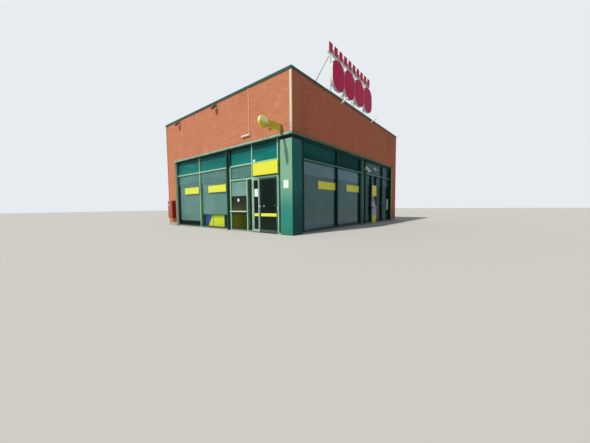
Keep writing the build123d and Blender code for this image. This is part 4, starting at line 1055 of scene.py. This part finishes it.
# Small fittings
FRONT_OUT = Vector((0.0, -1.0, 0.0))


def add_letterbox_fittings():
    """A lock and the line round the emptying door."""
    seam = Shape()
    low, high, near, far, line = 0.55, 1.20, 9.63, 10.08, 0.006
    for along, height in (((near, far), (low, low + line)), ((near, far), (high - line, high)),
                          ((near, near + line), (low, high)), ((far - line, far), (low, high))):
        seam.slab(front, along, (BOX_FACE - 0.0008, BOX_FACE + 0.001), height)
    seam.finish("letterbox_seam", gasket, slot="bare_steel")
    face = front(near + 0.05, BOX_FACE - 0.006, 0.92)
    lock = Shape().tube(face, face - FRONT_OUT * 0.008, 0.014, 20)
    lock.dome(face, 0.010, FRONT_OUT, 0.3)
    lock.finish("letterbox_lock", steel, slot="bare_steel", smooth=True)


# The machine's raked face as (depth, height) at its foot and top, and its shelf with the keys
RAKE_FOOT = Vector((0.13, 1.11))
RAKE_TOP = Vector((0.21, 1.72))
SHELF_EDGE = Vector((0.040, 1.052))
SHELF_SLOPE = 2 / 3
KEY_SIZE = Vector((0.013, 0.034, 0.014))
KEY_ROWS = 4
KEY_COLUMNS = 3


def add_machine_panel(name, share, span, thick, coat, slot):
    """A plate on the raked face, between two shares of its rise and two places along the street."""
    rise = RAKE_TOP - RAKE_FOOT
    out = Vector((-rise.y, rise.x)).normalized()
    one = RAKE_FOOT + rise * share[0]
    two = RAKE_FOOT + rise * share[1]
    outline = [one - out * 0.002, two - out * 0.002, two + out * thick, one + out * thick]

    def place(depth, height, along):
        return Vector((CORNER.x - depth, along, height))

    Shape().prism(outline, span[0], span[1], place).finish(name, coat, slot=slot)


def add_machine_fittings():
    """A bare dark screen on the raked face, slots under it, and keys on the shelf."""
    low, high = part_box("cash_machine")
    middle = (low.y + high.y) / 2
    edge = high.y - 0.08
    add_machine_panel("machine_screen", (0.42, 0.93), (middle - 0.19, middle + 0.19), 0.006,
                      screen_finish(), "glass")
    add_machine_panel("machine_card_slot", (0.22, 0.30), (edge - 0.20, edge - 0.04), 0.012, gasket,
                      "bare_steel")
    add_machine_panel("machine_note_slot", (0.08, 0.14), (middle - 0.16, middle + 0.16), 0.010, steel,
                      "bare_steel")
    keys = Shape()
    for row in range(KEY_ROWS):
        for column in range(KEY_COLUMNS):
            depth = SHELF_EDGE.x + 0.006 + row * 0.018
            height = SHELF_EDGE.y + (depth - SHELF_EDGE.x) * SHELF_SLOPE
            start = Vector((CORNER.x - depth - KEY_SIZE.x, middle - 0.06 + column * 0.042, height))
            keys.box(start, start + KEY_SIZE, 0.003, 1)
    keys.finish("machine_keys", white_sheet, slot="bare_steel")


def add_strap_rivets():
    """Two rivets on the outer face of each coping strap."""
    rivets = Shape()
    for low, high in islands("coping_straps"):
        middle = (low + high) / 2
        across = 1 if high.x - low.x < high.y - low.y else 0
        outward, slide, face = Vector(), Vector(), middle.copy()
        outward[across] = math.copysign(1.0, middle[across])
        slide[1 - across] = 0.025
        face[across] = high[across] if middle[across] > 0 else low[across]
        for sign in (-1, 1):
            rivets.dome(face + slide * sign - outward * 0.001, 0.006, outward, 0.5, 4, 10)
    rivets.finish("coping_rivets", steel, slot="bare_steel", smooth=True)


def add_trim_screws():
    """Screws down the front leg of the corner trim."""
    screws = Shape()
    height = BAND_BOTTOM + 0.12
    while height < BAND_TOP - 0.05:
        screws.dome(front(0.055, TRIM_FACE - 0.0005, height), 0.007, FRONT_OUT, 0.45, 4, 10)
        height += 0.42
    screws.finish("trim_screws", steel, slot="bare_steel", smooth=True)


def add_door_fittings():
    """Lock cases and stickers on the leaves, and the button on the jamb."""
    depth, height = (LEAF_FACE - 0.008, LEAF_FACE + 0.001), (1.02, 1.10)
    case = Shape().slab(front, (1.945, 1.985), depth, height, 0.003)
    keyhole = front(1.965, LEAF_FACE - 0.012, 1.045)
    case.tube(keyhole, keyhole - FRONT_OUT * 0.006, 0.010, 20)
    case.finish("main_door_lock", steel, "main_door", "bare_steel", True)
    case = Shape().slab(front, (2.012, 2.046), depth, height, 0.003)
    case.finish("narrow_door_lock", steel, "narrow_door", "bare_steel", True)
    for name, along, height, coat in (("main_door_spot_1", 1.728, 1.172, white_sheet),
                                      ("main_door_spot_2", 1.10, 1.19, grey_sheet)):
        face = front(along, LEAF_GLASS - 0.0025, height)
        spot = Shape().tube(face, front(along, LEAF_GLASS, height), 0.028, 28)
        spot.finish(name, coat, "main_door", "white_lamp")
    proud = LEAF_FACE - 0.026
    button = Shape().slab(front, (0.852, 0.888), (proud, LEAF_FACE + 0.001), (1.03, 1.13), 0.004)
    button.dome(front(0.870, proud, 1.08), 0.012, FRONT_OUT, 0.4)
    button.finish("jamb_button", pale_glint_metal, slot="bare_steel", smooth=True)


GRATINGS = ((-3.9, -4.6), (-3.9, 4.6))
GRATING_BARS = 7
GRATING_STEP = 0.03


def add_roof_fittings():
    """Two gratings in the roof, of seven bars between two end bars."""
    grates = Shape()
    for x, y in GRATINGS:
        for bar in range(GRATING_BARS):
            near = x - 0.10 + bar * GRATING_STEP
            grates.box((near, y - 0.10, ROOF_TOP), (near + 0.012, y + 0.112, ROOF_TOP + 0.015))
        for end in (y - 0.12, y + 0.11):
            grates.box((x - 0.12, end, ROOF_TOP), (x + 0.11, end + 0.02, ROOF_TOP + 0.022), 0.002, 1)
    grates.finish("roof_gratings", gasket, slot="bare_steel")


add_letterbox_fittings()
add_machine_fittings()
add_strap_rivets()
add_trim_screws()
add_door_fittings()
add_roof_fittings()

# Floor, light and background

FLOOR_REACH = 90.0
SUN_STRENGTH = 3.3
SUN_WIDTH = 2.5
SUN_COLOUR = (1.0, 0.97, 0.93)
SUN_FROM = Vector((-0.20, -1.0, 1.06))
SKY_LIGHT = ((0.86, 0.93, 1.0, 1.0), 0.30)
SKY_SEEN = ((0.80, 0.84, 0.88, 1.0), 1.0)


def add_floor():
    data = bpy.data.meshes.new("studio_floor")
    reach = FLOOR_REACH
    points = [(-reach, -reach, 0), (reach, -reach, 0), (reach, reach, 0), (-reach, reach, 0)]
    data.from_pydata(points, [], [(0, 1, 2, 3)])
    floor = add_object("studio_floor", data)
    coat = Finish("studio_floor", 0.9, 0.1)
    coat.paint((206, 204, 198))
    data.materials.append(coat.material)


def add_light():
    data = bpy.data.lights.new("key_sun", "SUN")
    data.energy = SUN_STRENGTH
    data.angle = math.radians(SUN_WIDTH)
    data.color = SUN_COLOUR
    sun = add_object("key_sun", data)
    sun.rotation_euler = SUN_FROM.to_track_quat("Z", "Y").to_euler()


def add_world():
    """Soft light from all round, and a pale background for the camera, glass and metal."""
    world = bpy.data.worlds.new("studio_world")
    bpy.context.scene.world = world
    sky = Nodes(world)
    rays = sky.node("ShaderNodeLightPath").outputs
    seen = rays["Is Camera Ray"]
    for ray, share in (("Is Transmission Ray", 1.0), ("Is Glossy Ray", 0.6)):
        seen = sky.math("MAXIMUM", seen, sky.math("MULTIPLY", rays[ray], share))
    layers = []
    for tone, strength in (SKY_LIGHT, SKY_SEEN):
        layer = sky.node("ShaderNodeBackground")
        layer.inputs[0].default_value = tone
        layer.inputs[1].default_value = strength
        layers.append(layer)
    output = sky.node("ShaderNodeOutputWorld")
    sky.join(sky.blend(seen, *layers).outputs[0], output.inputs[0])


add_floor()
add_light()
add_world()
bpy.context.scene.view_settings.view_transform = "Standard"
